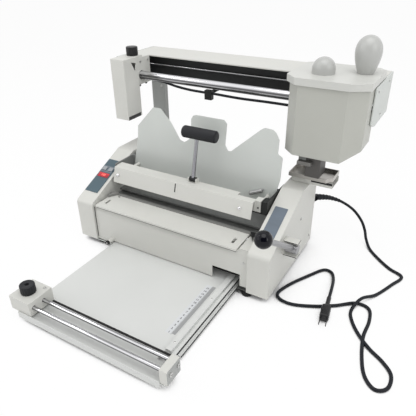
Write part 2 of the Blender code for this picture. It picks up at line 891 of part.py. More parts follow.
def base_frame(root):
    """U-shaped base sheet under both housings, open behind the table, with the table's two tracks."""
    half = HOUSING_OUTER_X - BASE_INSET
    left = TABLE_LEFT_X - RUNNING - TRACK_SHEET
    right = RUNNER_RIGHT_X + RUNNING + TRACK_SHEET
    front = BASE_INSET
    cross = BASE_REAR_Y - BASE_CROSS_DEPTH
    points = [
        (-half, front),
        (left, front),
        (left, cross),
        (right, cross),
        (right, front),
        (half, front),
        (half, HOUSING_DEPTH),
        (BASE_REAR_HALF, HOUSING_DEPTH),
        (BASE_REAR_HALF, BASE_REAR_Y),
        (-BASE_REAR_HALF, BASE_REAR_Y),
        (-BASE_REAR_HALF, HOUSING_DEPTH),
        (-half, HOUSING_DEPTH),
    ]
    corner = NOSE_RADIUS
    radii = [corner, 0, corner, corner, 0, corner, 0, 0, corner, corner, 0, 0]
    frame = outline(rounded(points, radii), "Z", FOOT_HEIGHT, BASE_TOP_Z)
    track_low = RUNNER_BOTTOM_Z - GAP - TRACK_SHEET
    reach = RUNNER_WIDTH + RUNNING
    for web, sign in ((left, 1), (right, -1)):
        flange = web + sign * (reach + TRACK_SHEET)
        inner = web + sign * TRACK_SHEET
        section = [
            (web - sign * TRACK_SHEET, track_low),
            (flange, track_low),
            (flange, track_low + TRACK_SHEET),
            (inner, track_low + TRACK_SHEET),
            (inner, BASE_TOP_Z - GAP),
            (web - sign * TRACK_SHEET, BASE_TOP_Z - GAP),
        ]
        if sign < 0:
            section.reverse()
        track = outline(section, "Y", front + TRACK_SHEET, front + TRACK_SHEET + TRACK_LENGTH)
        join(frame, track)
    return keep(frame, "base_frame", "cool_grey_paint", root)


def feet(root):
    top = FOOT_HEIGHT - GAP
    profile = [(0, top), (FOOT_RADIUS, top), (FOOT_RADIUS, top / 4), (FOOT_RADIUS - top / 4, 0), (0, 0)]
    places = {
        "foot_front_left": (-FOOT_FRONT_X, FOOT_FRONT_Y),
        "foot_front_right": (FOOT_FRONT_X, FOOT_FRONT_Y),
        "foot_rear_left": (-FOOT_REAR_X, FOOT_REAR_Y),
        "foot_rear_right": (FOOT_REAR_X, FOOT_REAR_Y),
    }
    for name, (x, y) in places.items():
        keep(turned(profile, (x, y, 0)), name, "rubber", root)


def housing(name, side, root):
    """Folded steel side housing, open below, with its pivot bore, its nip slot and its other cut-outs."""
    points = [
        (0, HOUSING_BOTTOM_Z),
        (0, HOUSING_NOSE_Z),
        (SLOPE_END_Y, HOUSING_TOP_Z),
        (HOUSING_DEPTH, HOUSING_TOP_Z),
        (HOUSING_DEPTH, HOUSING_BOTTOM_Z),
    ]
    loop = rounded(points, [0, NOSE_RADIUS, KINK_RADIUS, NOSE_RADIUS, 0])
    low, high = sorted((side * HOUSING_INNER_X, side * HOUSING_OUTER_X))
    shell = outline(loop, "X", low, high)
    shape = bmesh.new()
    shape.from_mesh(shell.data)
    shape.transform(shell.matrix_world)
    bottom = [f for f in shape.faces if f.normal.z < -0.9 and f.calc_center_median().z < BASE_TOP_Z + SHEET]
    bmesh.ops.delete(shape, geom=bottom, context="FACES")
    shape.to_mesh(shell.data)
    shape.free()
    shell.matrix_world = Matrix.Identity(4)
    solid = shell.modifiers.new("Sheet thickness", "SOLIDIFY")
    solid.thickness = SHEET
    solid.offset = -1
    solid.use_even_offset = True
    inner = side * (HOUSING_INNER_X - OVERRUN)
    through = side * (HOUSING_INNER_X + SHEET + OVERRUN)
    cut(shell, rod((inner, PIVOT_Y, PIVOT_Z), (through, PIVOT_Y, PIVOT_Z), PIN_RADIUS + RUNNING))
    slot_low = CARRIER_Y - STUD_RADIUS - RUNNING
    slot_high = CARRIER_Y + NIP_TRAVEL + STUD_RADIUS + RUNNING
    slot_half = STUD_RADIUS + RUNNING
    low, high = sorted((inner, through))
    cut(shell, box((low, slot_low, STUD_Z - slot_half), (high, slot_high, STUD_Z + slot_half)))
    if side > 0:
        outer_low = HOUSING_OUTER_X - SHEET - OVERRUN
        outer_high = HOUSING_OUTER_X + OVERRUN
        bore = SIDE_SHAFT_RADIUS + RUNNING
        cut(shell, rod((outer_low, SIDE_HUB_Y, SIDE_HUB_Z), (outer_high, SIDE_HUB_Y, SIDE_HUB_Z), bore))
        rear_low = HOUSING_DEPTH - SHEET - OVERRUN
        rear_high = HOUSING_DEPTH + OVERRUN
        cut(shell, rod((CORD_X, rear_low, CORD_Z), (CORD_X, rear_high, CORD_Z), RELIEF_RADIUS + GAP))
    return keep(shell, name, "warm_grey_paint", root)


def front_panel(root):
    """Folded front panel with the notch for the table's rails, the right ledge and the rubber bumper."""
    half = HOUSING_INNER_X - GAP
    path = [
        (PANEL_Y, PANEL_BOTTOM_Z),
        (PANEL_Y, PANEL_FOLD_LOW_Z),
        (PANEL_Y + PANEL_FOLD_DEPTH, PANEL_FOLD_HIGH_Z),
        (PANEL_Y + PANEL_FOLD_DEPTH, PLATFORM_TOP_Z - PLATFORM_LIP - RUNNING),
        (PANEL_Y + PANEL_TOP_DEPTH, PLATFORM_TOP_Z - PLATFORM_LIP - RUNNING),
    ]
    panel = folded(path, SHEET, -half, half)
    notch_low = (NOTCH_LEFT_X, PANEL_Y - OVERRUN, PANEL_BOTTOM_Z - OVERRUN)
    notch_high = (NOTCH_RIGHT_X, PANEL_Y + SHEET + OVERRUN, NOTCH_TOP_Z)
    cut(panel, box(notch_low, notch_high))
    ledge_path = [
        (PANEL_Y + PANEL_FOLD_DEPTH + SHEET / 2, PANEL_FOLD_HIGH_Z),
        (PANEL_Y + PANEL_FOLD_DEPTH + SHEET / 2, LEDGE_TOP_Z),
        (LEDGE_DEPTH, LEDGE_TOP_Z),
    ]
    join(panel, folded(ledge_path, SHEET, half - LEDGE_WIDTH, half))
    bumper_start = (BUMPER_X, PANEL_Y + SHEET / 2, BUMPER_Z)
    bumper_end = (BUMPER_X, PANEL_Y - BUMPER_LENGTH, BUMPER_Z)
    join(panel, rod(bumper_start, bumper_end, BUMPER_RADIUS))
    return keep(panel, "front_panel", "warm_grey_paint", root)


def spine_rest(root):
    """Dark table that the spine stands on, and the fixed rear nip bar behind it."""
    half = HOUSING_INNER_X - GAP
    bottom = SPINE_TOP_Z - SPINE_THICK
    table = box((-half, SPINE_FRONT_Y, bottom), (half, REAR_NIP_FRONT_Y - GAP, SPINE_TOP_Z))
    keep(table, "spine_table", "cool_grey_paint", root)
    rear = box(
        (-half, REAR_NIP_FRONT_Y, bottom),
        (half, REAR_NIP_FRONT_Y + REAR_NIP_DEPTH, REAR_NIP_TOP_Z),
        SHEET / 2,
    )
    keep(rear, "rear_nip_bar", "black_steel", root)


def nip(root):
    """Platform with its lip, slots and runner studs, and the front nip bar with its two side guides."""
    moving = pivot("nip_axis", (0, CARRIER_Y, STUD_Z), root)
    top = PLATFORM_TOP_Z
    path = [(SHEET, top - PLATFORM_LIP), (SHEET, top), (PLATFORM_DEPTH, top)]
    platform = folded(path, PLATFORM_SHEET, PLATFORM_LEFT_X, PLATFORM_RIGHT_X)
    for x in (SLOT_LEFT_X, SLOT_RIGHT_X):
        low = (x - SLOT_WIDTH / 2, SLOT_MIDDLE_Y - SLOT_LENGTH / 2, top - PLATFORM_SHEET - OVERRUN)
        high = (x + SLOT_WIDTH / 2, SLOT_MIDDLE_Y + SLOT_LENGTH / 2, top + OVERRUN)
        cut(platform, box(low, high))
    carrier_half = HOUSING_INNER_X - CLAMP_SIDE_GAP
    carrier_low = (-carrier_half, CARRIER_Y - CARRIER_THICK / 2, CARRIER_BOTTOM_Z)
    carrier_high = (
        carrier_half,
        CARRIER_Y + CARRIER_THICK / 2,
        LEDGE_TOP_Z - SHEET - RUNNING - GAP,
    )
    join(platform, box(carrier_low, carrier_high))
    neck_low = (PLATFORM_LEFT_X + CARRIER_THICK, carrier_low[1], STUD_Z)
    neck_high = (PLATFORM_RIGHT_X - CARRIER_THICK, carrier_high[1], top - PLATFORM_SHEET / 2)
    join(platform, box(neck_low, neck_high))
    for side in (-1, 1):
        start = (side * (carrier_half - STUD_REACH), CARRIER_Y, STUD_Z)
        end = (side * (HOUSING_INNER_X + SHEET + STUD_REACH), CARRIER_Y, STUD_Z)
        join(platform, rod(start, end, STUD_RADIUS))
    keep(platform, "platform", "warm_grey_paint", moving)
    front = PLATFORM_DEPTH + GAP
    left = PLATFORM_LEFT_X
    right = PLATFORM_RIGHT_X + GUIDE_WIDTH
    bar = box((left, front, NIP_BAR_BOTTOM_Z), (right, front + NIP_BAR_DEPTH, NIP_BAR_TOP_Z))
    low_z = top + GAP
    for x, sign in ((left, 1), (right, -1)):
        tip = [(x, front + SHEET), (x, front - GUIDE_DEPTH), (x + sign * GUIDE_WIDTH, front + SHEET)]
        if sign > 0:
            tip.reverse()
        join(bar, outline(tip, "Z", low_z, low_z + GUIDE_HEIGHT))
    keep(bar, "front_nip_bar", "steel", moving)


def clamp_arm(name, side, moving):
    """Black steel arm with its pivot pin, its tab behind the back plate and its front end block."""
    outer = side * CLAMP_HALF
    inner = side * (CLAMP_HALF - ARM_THICK)
    low, high = sorted((outer, inner))
    rear_y = PIVOT_Y + PIN_RADIUS * 2
    points = [
        (ARM_FRONT_Y, ARM_BOTTOM_Z),
        (rear_y, ARM_BOTTOM_Z),
        (rear_y, ARM_TOP_Z),
        (ARM_FRONT_Y, ARM_TOP_Z),
    ]
    arm = outline(rounded(points, [0, NOSE_RADIUS, NOSE_RADIUS, 0]), "X", low, high)
    low, high = sorted((outer, side * (CLAMP_HALF - BACK_TAB_WIDTH)))
    lift = BACK_THICK * math.hypot(1, BACK_LEAN) + GAP
    tab = [
        (back_plate_y(ARM_BOTTOM_Z) + lift, ARM_BOTTOM_Z),
        (back_plate_y(ARM_BOTTOM_Z) + lift + ARM_THICK, ARM_BOTTOM_Z),
        (back_plate_y(ARM_TOP_Z) + lift + ARM_THICK, ARM_TOP_Z),
        (back_plate_y(ARM_TOP_Z) + lift, ARM_TOP_Z),
    ]
    join(arm, outline(tab, "X", low, high))
    if side > 0:
        end_low = (CLAMP_HALF - ARM_END_WIDTH, ARM_FRONT_Y, ARM_BOTTOM_Z)
        end_high = (CLAMP_HALF - ARM_THICK / 2, ARM_FRONT_Y + ARM_END_DEPTH, ARM_TOP_Z - SHEET)
        join(arm, box(end_low, end_high))
    pin_start = (side * (CLAMP_HALF - ARM_THICK / 2), PIVOT_Y, PIVOT_Z)
    pin_end = (side * (HOUSING_INNER_X + SHEET + PIN_RADIUS / 2), PIVOT_Y, PIVOT_Z)
    join(arm, rod(pin_start, pin_end, PIN_RADIUS))
    keep(arm, name, "black_steel", moving)


def back_plate(moving):
    """Tall three-peaked back plate of the clamp, leaning back, with its two holes for the jaw's guide pins."""
    height = (BACK_TOP_Z - BACK_BOTTOM_Z) * math.hypot(1, BACK_LEAN)
    points = [(u * BACK_HALF_WIDTH, v * height) for u, v in BACK_OUTLINE_SHARES]
    radii = [0] + [SHEET * 2] * (len(points) - 2) + [0]
    loop = rounded(points, radii, 3)
    plate = outline(loop, "Y", 0, BACK_THICK)
    lean = Matrix.Rotation(-math.atan(BACK_LEAN), 4, "X")
    plate.matrix_world = Matrix.Translation((0, BACK_BOTTOM_Y, BACK_BOTTOM_Z)) @ lean @ plate.matrix_world
    for side in (-1, 1):
        start = (side * GUIDE_PIN_X, BACK_BOTTOM_Y - OVERRUN * 2, GUIDE_PIN_Z)
        end = (side * GUIDE_PIN_X, BACK_BOTTOM_Y + BACK_THICK + OVERRUN * 2, GUIDE_PIN_Z)
        cut(plate, rod(start, end, GUIDE_PIN_RADIUS + RUNNING))
    keep(plate, "back_plate", "cool_grey_paint", moving)


def clamp(root):
    moving = pivot("clamp_axis", (0, PIVOT_Y, PIVOT_Z), root)
    back_plate(moving)
    clamp_arm("clamp_arm_left", -1, moving)
    clamp_arm("clamp_arm_right", 1, moving)
    jaw(moving)
    catch(moving)


def jaw(clamp_axis):
    """Sliding jaw: leaning front plate, square bar with its guide pins, and the T-handled lever on it."""
    moving = pivot("jaw_axis", (0, BAR_FRONT_Y, GUIDE_PIN_Z), clamp_axis)
    path = [
        (JAW_BOTTOM_Y, JAW_BOTTOM_Z),
        (JAW_TOP_Y, JAW_TOP_Z),
        (BAR_FRONT_Y - GAP, JAW_TOP_Z),
        (BAR_FRONT_Y - GAP, BAR_BOTTOM_Z + JAW_SHEET),
    ]
    plate = folded(path, JAW_SHEET, JAW_LEFT_X, JAW_RIGHT_X)
    keep(plate, "jaw_plate", "warm_grey_paint", moving)
    rear = BAR_FRONT_Y + BAR_DEPTH
    bar = box((-CLAMP_HALF + ARM_THICK + BAR_ARM_GAP, BAR_FRONT_Y, BAR_BOTTOM_Z), (BAR_RIGHT_X, rear, BAR_TOP_Z))
    for side in (-1, 1):
        start = (side * GUIDE_PIN_X, rear - OVERRUN, GUIDE_PIN_Z)
        end = (side * GUIDE_PIN_X, BACK_BOTTOM_Y + BACK_THICK + GUIDE_PIN_END, GUIDE_PIN_Z)
        join(bar, rod(start, end, GUIDE_PIN_RADIUS))
    recess = CATCH_STANDOFF + CATCH_RADIUS - (BACK_BOTTOM_Y - rear - JAW_TRAVEL)
    recess_low = (
        CATCH_X - CATCH_LENGTH - CATCH_CLEARANCE,
        rear - recess - CATCH_CLEARANCE,
        CATCH_Z - CATCH_LENGTH * math.sin(CATCH_TILT) - CATCH_CLEARANCE * 2,
    )
    cut(bar, box(recess_low, (CATCH_X + CATCH_CLEARANCE * 2, rear + OVERRUN, BAR_TOP_Z + OVERRUN)))
    ear = LEVER_HUB_WIDTH / 2
    for sign in (-1, 1):
        low, high = sorted((LEVER_X + sign * (ear + GAP), LEVER_X + sign * (ear + GAP + JAW_SHEET)))
        ear_low = (low, LEVER_Y - LEVER_HUB_RADIUS, BAR_TOP_Z - SHEET)
        ear_high = (high, LEVER_Y + LEVER_HUB_RADIUS, BAR_TOP_Z + LEVER_HUB_RAISE + LEVER_HUB_RADIUS / 2)
        join(bar, box(ear_low, ear_high))
    keep(bar, "jaw_bar", "warm_grey_paint", moving)
    clamp_lever(moving)


def clamp_lever(jaw_axis):
    hub_z = BAR_TOP_Z + LEVER_HUB_RAISE
    moving = pivot("clamp_lever_axis", (LEVER_X, LEVER_Y, hub_z), jaw_axis)
    half = LEVER_HUB_WIDTH / 2
    hub = rod((LEVER_X - half, LEVER_Y, hub_z), (LEVER_X + half, LEVER_Y, hub_z), LEVER_HUB_RADIUS)
    foot = Vector((LEVER_X, LEVER_Y, hub_z))
    top = Vector((LEVER_X, LEVER_Y + LEVER_BACK_LEAN, hub_z + LEVER_RISE))
    reach = (top - foot).normalized()
    end = top - reach * (GRIP_RADIUS / 2)
    join(hub, rod(foot, end, LEVER_SHAFT_RADIUS))
    keep(hub, "clamp_lever_shaft", "steel", moving)
    length = GRIP_LENGTH / 2
    edge = GRIP_END_RADIUS
    profile = [
        (0, length),
        (GRIP_RADIUS - edge, length),
        (GRIP_RADIUS - edge / 4, length - edge / 4),
        (GRIP_RADIUS, length - edge),
        (GRIP_RADIUS, edge - length),
        (GRIP_RADIUS - edge / 4, edge / 4 - length),
        (GRIP_RADIUS - edge, -length),
        (0, -length),
    ]
    grip = turned(profile, (GRIP_CENTRE_X, top.y, top.z), (1, 0, 0))
    bore_start = top - reach * (GRIP_RADIUS * 2)
    bore_end = top - reach * (GRIP_RADIUS / 2 - GAP)
    cut(grip, rod(bore_start, bore_end, LEVER_SHAFT_RADIUS + GAP))
    keep(grip, "clamp_lever_grip", "rubber", moving)


def catch(clamp_axis):
    """Small round catch lever in front of the back plate, on a stud at its right end."""
    y = back_plate_y(CATCH_Z) - CATCH_STANDOFF
    moving = pivot("catch_axis", (CATCH_X, y, CATCH_Z), clamp_axis)
    stud_end = (CATCH_X, back_plate_y(CATCH_Z - CATCH_RADIUS) - GAP * 2, CATCH_Z)
    pin = rod((CATCH_X, y - CATCH_RADIUS, CATCH_Z), stud_end, CATCH_RADIUS)
    tip_x = CATCH_X - CATCH_LENGTH * math.cos(CATCH_TILT)
    tip_z = CATCH_Z - CATCH_LENGTH * math.sin(CATCH_TILT)
    join(pin, rod((CATCH_X, y, CATCH_Z), (tip_x, y, tip_z), CATCH_RADIUS * CATCH_NECK_SHARE, CATCH_RADIUS))
    keep(pin, "clamp_catch", "steel", moving)


def post(name, side, root):
    """Folded channel post, open to the rear, from the base sheet to the beam."""
    outer = POST_OUTER_X
    inner = POST_OUTER_X - POST_WIDTH
    front = POST_FRONT_Y
    rear = POST_FRONT_Y + POST_DEPTH
    wall = POST_SHEET
    points = [
        (inner, front),
        (outer, front),
        (outer, rear),
        (outer - wall, rear),
        (outer - wall, front + wall),
        (inner + wall, front + wall),
        (inner + wall, rear),
        (inner, rear),
    ]
    loop = [(side * x, y) for x, y in points]
    if side < 0:
        loop.reverse()
    keep(outline(loop, "Z", HOUSING_BOTTOM_Z, BEAM_BOTTOM_Z - GAP), name, "cool_grey_paint", root)


def end_cap(name, x, side, root):
    """Folded end plate of the gantry with a short flange over its front top corner."""
    points = [
        (CAP_FRONT_Y, BEAM_TOP_Z),
        (CAP_FRONT_Y, CAP_FRONT_BOTTOM_Z),
        (CAP_BOTTOM_Y, CAP_BOTTOM_Z),
        (BEAM_REAR_Y, CAP_BOTTOM_Z),
        (BEAM_REAR_Y, BEAM_TOP_Z),
    ]
    radii = [SHEET, SHEET, NOSE_RADIUS, SHEET, SHEET]
    low, high = sorted((x, x - side * CAP_SHEET))
    cap = outline(rounded(points, radii), "X", low, high)
    low, high = sorted((x - side * CAP_SHEET / 2, x - side * (CAP_SHEET + CAP_FLANGE)))
    if side < 0:
        flange_low = (low, CAP_FRONT_Y + SHEET, BEAM_TOP_Z - SHEET)
        flange_high = (high, COVER_FRONT_Y - RUNNING, BEAM_TOP_Z)
        join(cap, box(flange_low, flange_high))
    keep(cap, name, "cool_grey_paint", root)


def cable_clip():
    """Strap clip under the beam that holds the inner ends of both leads, side by side."""
    half = CLIP_WIDTH / 2
    low = (CLIP_X - half, CLIP_FRONT_Y, CLIP_Z - CLIP_BELOW)
    clip = box(low, (CLIP_X + half, CLIP_REAR_Y, CLIP_Z + CLIP_ABOVE))
    strap_left = CLIP_X - half + CLIP_SHEET
    strap_right = CLIP_X + half - CLIP_SHEET
    strap_rear = BEAM_FRONT_Y + NOSE_RADIUS
    strap_low = (strap_left, HEAD_CABLE_Y, CLIP_Z - CLIP_SHEET)
    join(clip, box(strap_low, (strap_right, strap_rear, CLIP_Z)))
    riser_low = (strap_left + SHEET, BEAM_FRONT_Y + SHEET, CLIP_Z - CLIP_SHEET / 2)
    join(clip, box(riser_low, (strap_right - SHEET, strap_rear - SHEET, BEAM_BOTTOM_Z + SHEET)))
    return clip


def gantry(root):
    post("post_left", -1, root)
    post("post_right", 1, root)
    end_cap("end_cap_left", CAP_LEFT_X, -1, root)
    end_cap("end_cap_right", CAP_RIGHT_X, 1, root)
    cover_under = BEAM_TOP_Z - SHEET - GAP
    rear = BEAM_REAR_Y - SHEET - GAP
    outer = [
        (BEAM_FRONT_Y, BEAM_BOTTOM_Z),
        (rear, BEAM_BOTTOM_Z),
        (rear, cover_under),
        (BEAM_FRONT_Y, cover_under),
    ]
    hollow = [
        (BEAM_FRONT_Y + BEAM_WALL, BEAM_BOTTOM_Z + BEAM_WALL),
        (rear - BEAM_WALL, BEAM_BOTTOM_Z + BEAM_WALL),
        (rear - BEAM_WALL, cover_under - BEAM_WALL),
        (BEAM_FRONT_Y + BEAM_WALL, cover_under - BEAM_WALL),
    ]
    beam = outline(outer, "X", BEAM_SPAN_LEFT, BEAM_SPAN_RIGHT, holes=[hollow])
    join(beam, cable_clip())
    keep(beam, "beam", "black_steel", root)
    path = [
        (BEAM_REAR_Y, BEAM_BOTTOM_Z),
        (BEAM_REAR_Y, BEAM_TOP_Z),
        (COVER_FRONT_Y, BEAM_TOP_Z),
        (COVER_FRONT_Y, BEAM_TOP_Z - COVER_LIP),
    ]
    cover = folded(path, SHEET, BEAM_SPAN_LEFT, BEAM_SPAN_RIGHT, -1)
    keep(cover, "beam_cover", "warm_grey_paint", root)
    start = (BEAM_SPAN_LEFT, GUIDE_ROD_Y, GUIDE_ROD_Z)
    end = (BEAM_SPAN_RIGHT, GUIDE_ROD_Y, GUIDE_ROD_Z)
    keep(rod(start, end, GUIDE_ROD_RADIUS), "guide_rod", "chrome", root)
    start = (BEAM_SPAN_LEFT, REAR_ROD_Y, REAR_ROD_Z)
    end = (BEAM_SPAN_RIGHT, REAR_ROD_Y, REAR_ROD_Z)
    keep(rod(start, end, REAR_ROD_RADIUS, sides=12), "rear_rod", "steel", root)


def milling_head(root):
    """Milling head: open-bottomed case with its bearing block on the guide rod, depth knob and cutter disc."""
    moving = pivot("head_axis", (HEAD_KNOB_X, GUIDE_ROD_Y, GUIDE_ROD_Z), root)
    right = HEAD_LEFT_X + HEAD_WIDTH
    rear = HEAD_FRONT_Y + HEAD_DEPTH
    case = box((HEAD_LEFT_X, HEAD_FRONT_Y, HEAD_BOTTOM_Z), (right, rear, HEAD_TOP_Z), SHEET / 2)
    hollow_low = (HEAD_LEFT_X + SHEET, HEAD_FRONT_Y + SHEET, HEAD_BOTTOM_Z - OVERRUN)
    hollow_high = (right - SHEET, rear - SHEET, HEAD_TOP_Z - SHEET)
    cut(case, box(hollow_low, hollow_high))
    block_low = (BRACKET_LEFT_X, rear - SHEET / 2, BRACKET_BOTTOM_Z)
    block_high = (BRACKET_RIGHT_X, BRACKET_REAR_Y, BRACKET_TOP_Z)
    join(case, box(block_low, block_high))
    tab_low = (HEAD_LEFT_X + SHEET, rear - SHEET / 2, BRACKET_TOP_Z - SHEET)
    join(case, box(tab_low, (right - SHEET, HEAD_TAB_REAR_Y, HEAD_TOP_Z - GAP)))
    height = HEAD_TOP_Z - HEAD_BOTTOM_Z
    slot = [(HEAD_FRONT_Y + u * HEAD_DEPTH, HEAD_BOTTOM_Z + v * height) for u, v in HEAD_SLOT_SHARES]
    cut(case, outline(slot, "X", right - SHEET - OVERRUN, right + OVERRUN))
    spindle_y = HEAD_FRONT_Y + HEAD_DEPTH / 2
    boss_top = (HEAD_KNOB_X, spindle_y, HEAD_TOP_Z - SHEET / 2)
    join(case, rod((HEAD_KNOB_X, spindle_y, SPINDLE_BOSS_Z), boss_top, SPINDLE_BOSS_RADIUS))
    bore_start = (BRACKET_LEFT_X - OVERRUN, GUIDE_ROD_Y, GUIDE_ROD_Z)
    bore_end = (BRACKET_RIGHT_X + OVERRUN, GUIDE_ROD_Y, GUIDE_ROD_Z)
    cut(case, rod(bore_start, bore_end, GUIDE_ROD_RADIUS + RUNNING))
    keep(case, "milling_head", "warm_grey_paint", moving)

    knob_axis = pivot("head_knob_axis", (HEAD_KNOB_X, HEAD_KNOB_Y, HEAD_TOP_Z), moving)
    bottom = HEAD_TOP_Z + GAP
    knob = outline(fluted(HEAD_KNOB_RADIUS, KNOB_LOBES, KNOB_LOBE_DEPTH), "Z", bottom, bottom + HEAD_KNOB_HEIGHT)
    knob.location += Vector((HEAD_KNOB_X, HEAD_KNOB_Y, 0))
    round_edges(knob, KNOB_EDGE / 2, 2, math.radians(60))
    keep(knob, "head_knob", "black_plastic", knob_axis)

    spin_axis = pivot("cutter_axis", (HEAD_KNOB_X, spindle_y, HEAD_BOTTOM_Z), moving)
    low = HEAD_BOTTOM_Z - CUTTER_DROP
    profile = [
        (0, SPINDLE_BOSS_Z - GAP),
        (SPINDLE_RADIUS, SPINDLE_BOSS_Z - GAP),
        (SPINDLE_RADIUS, low + CUTTER_THICK * 2),
        (CUTTER_RADIUS * CUTTER_HUB_SHARE, low + CUTTER_THICK),
        (CUTTER_RADIUS, low + CUTTER_THICK),
        (CUTTER_RADIUS, low),
        (0, low),
    ]
    keep(turned(profile, (HEAD_KNOB_X, spindle_y, 0)), "milling_cutter", "steel", spin_axis)


def pot_plan(left, right, front, rear, inset):
    """Plan outline of the pot with its two front chamfers, drawn in by inset."""
    return [
        (left + inset, rear),
        (left + inset, front + POT_CHAMFER_LEFT_Y + inset / 2),
        (left + POT_CHAMFER_LEFT_X + inset / 2, front + inset),
        (right - POT_CHAMFER_RIGHT_X - inset / 2, front + inset),
        (right - inset, front + POT_CHAMFER_RIGHT_Y + inset / 2),
        (right - inset, rear),
    ]


def glue_pot(root):
    """Glue pot: chamfered case on the guide rod, hinged lid, tank with its applicator shoe, roller and gate."""
    moving = pivot("pot_axis", (POT_LEFT_X, GUIDE_ROD_Y, GUIDE_ROD_Z), root)
    plan = pot_plan(POT_LEFT_X, POT_RIGHT_X, POT_FRONT_Y, POT_REAR_Y, 0)
    inner = pot_plan(POT_LEFT_X, POT_RIGHT_X, POT_FRONT_Y, POT_REAR_Y - POT_WALL, POT_WALL)
    case = outline(plan, "Z", POT_BOTTOM_Z, POT_TOP_Z)
    cut(case, outline(inner, "Z", POT_BOTTOM_Z - OVERRUN, POT_TOP_Z + OVERRUN))
    slant = [
        (POT_SLANT_X, POT_BOTTOM_Z),
        (POT_SLANT_X, POT_BOTTOM_Z - OVERRUN),
        (POT_RIGHT_X + OVERRUN, POT_BOTTOM_Z - OVERRUN),
        (POT_RIGHT_X + OVERRUN, POT_SLANT_Z),
        (POT_RIGHT_X, POT_SLANT_Z),
    ]
    cut(case, outline(slant, "Y", POT_FRONT_Y - OVERRUN, POT_REAR_Y + OVERRUN))
    hole = GUIDE_ROD_RADIUS + POT_ROD_CLEARANCE
    bore_start = (POT_LEFT_X - OVERRUN, GUIDE_ROD_Y, GUIDE_ROD_Z)
    bore_end = (POT_RIGHT_X + OVERRUN, GUIDE_ROD_Y, GUIDE_ROD_Z)
    cut(case, rod(bore_start, bore_end, hole))
    lug_z = CLIP_Z - CABLE_SAG * POT_CABLE_SAG_SHARES[-1]
    lug_low = (POT_LEFT_X, POT_REAR_Y - POT_WALL / 2, lug_z - CABLE_RADIUS)
    lug_high = (POT_LEFT_X + POT_LUG_WIDTH, POT_CABLE_Y + CABLE_RADIUS, lug_z + CABLE_RADIUS)
    join(case, box(lug_low, lug_high))
    keep(case, "pot_case", "pot_paint", moving)
    pot_tank(moving)
    pot_lid(moving)


def pot_tank(moving):
    """Cast tank, hung inside the case, with the bearing round the guide rod and the applicator shoe below."""
    left = POT_LEFT_X + POT_CHAMFER_LEFT_X
    right = POT_RIGHT_X - POT_CHAMFER_RIGHT_X
    front = POT_FRONT_Y + TANK_INSET
    tank = box((left, front, TANK_FLOOR_Z), (right, TANK_REAR_Y, TANK_TOP_Z))
    low = (left + TANK_WALL, front + TANK_WALL, TANK_FLOOR_Z + TANK_WALL)
    high = (right - TANK_WALL, TANK_REAR_Y - TANK_WALL, TANK_TOP_Z + OVERRUN)
    cut(tank, box(low, high))
    hanger_low = (left, TANK_REAR_Y - TANK_WALL, TANK_FLOOR_Z)
    hanger_high = (right, POT_REAR_Y - POT_WALL - GAP, GUIDE_ROD_Z + GUIDE_ROD_RADIUS + TANK_WALL)
    join(tank, box(hanger_low, hanger_high))
    bore_start = (left - OVERRUN, GUIDE_ROD_Y, GUIDE_ROD_Z)
    bore_end = (right + OVERRUN, GUIDE_ROD_Y, GUIDE_ROD_Z)
    cut(tank, rod(bore_start, bore_end, GUIDE_ROD_RADIUS + RUNNING))
    shoe_right = SHOE_LEFT_X + SHOE_WIDTH
    shoe_low = (SHOE_LEFT_X, SHOE_FRONT_Y, SHOE_BOTTOM_Z)
    shoe_high = (shoe_right, SHOE_FRONT_Y + SHOE_DEPTH, TANK_FLOOR_Z + TANK_WALL / 2)
    join(tank, box(shoe_low, shoe_high))
    pocket_half = ROLLER_LENGTH / 2 + RUNNING
    middle = SHOE_LEFT_X + SHOE_WIDTH / 2
    pocket_low = (middle - pocket_half, ROLLER_Y - ROLLER_RADIUS - RUNNING, SHOE_BOTTOM_Z + SHEET)
    pocket_high = (middle + pocket_half, SHOE_FRONT_Y + SHOE_DEPTH + OVERRUN, ROLLER_Z + ROLLER_RADIUS + RUNNING)
    cut(tank, box(pocket_low, pocket_high))
    keep(tank, "pot_tank", "aluminium", moving)

    spin = pivot("roller_axis", (middle, ROLLER_Y, ROLLER_Z), moving)
    half = ROLLER_LENGTH / 2
    roller = rod((middle - half, ROLLER_Y, ROLLER_Z), (middle + half, ROLLER_Y, ROLLER_Z), ROLLER_RADIUS)
    keep(roller, "glue_roller", "steel", spin)

    gate_axis = pivot("gate_axis", (GATE_LEFT_X, SHOE_FRONT_Y, ROLLER_Z), moving)
    gate_low = (GATE_LEFT_X, SHOE_FRONT_Y - GAP - GATE_DEPTH, ROLLER_Z - GATE_THICK)
    gate_high = (GATE_LEFT_X + GATE_WIDTH, SHOE_FRONT_Y - GAP, ROLLER_Z + GATE_THICK)
    keep(box(gate_low, gate_high, SHEET / 2), "glue_gate", "steel", gate_axis)


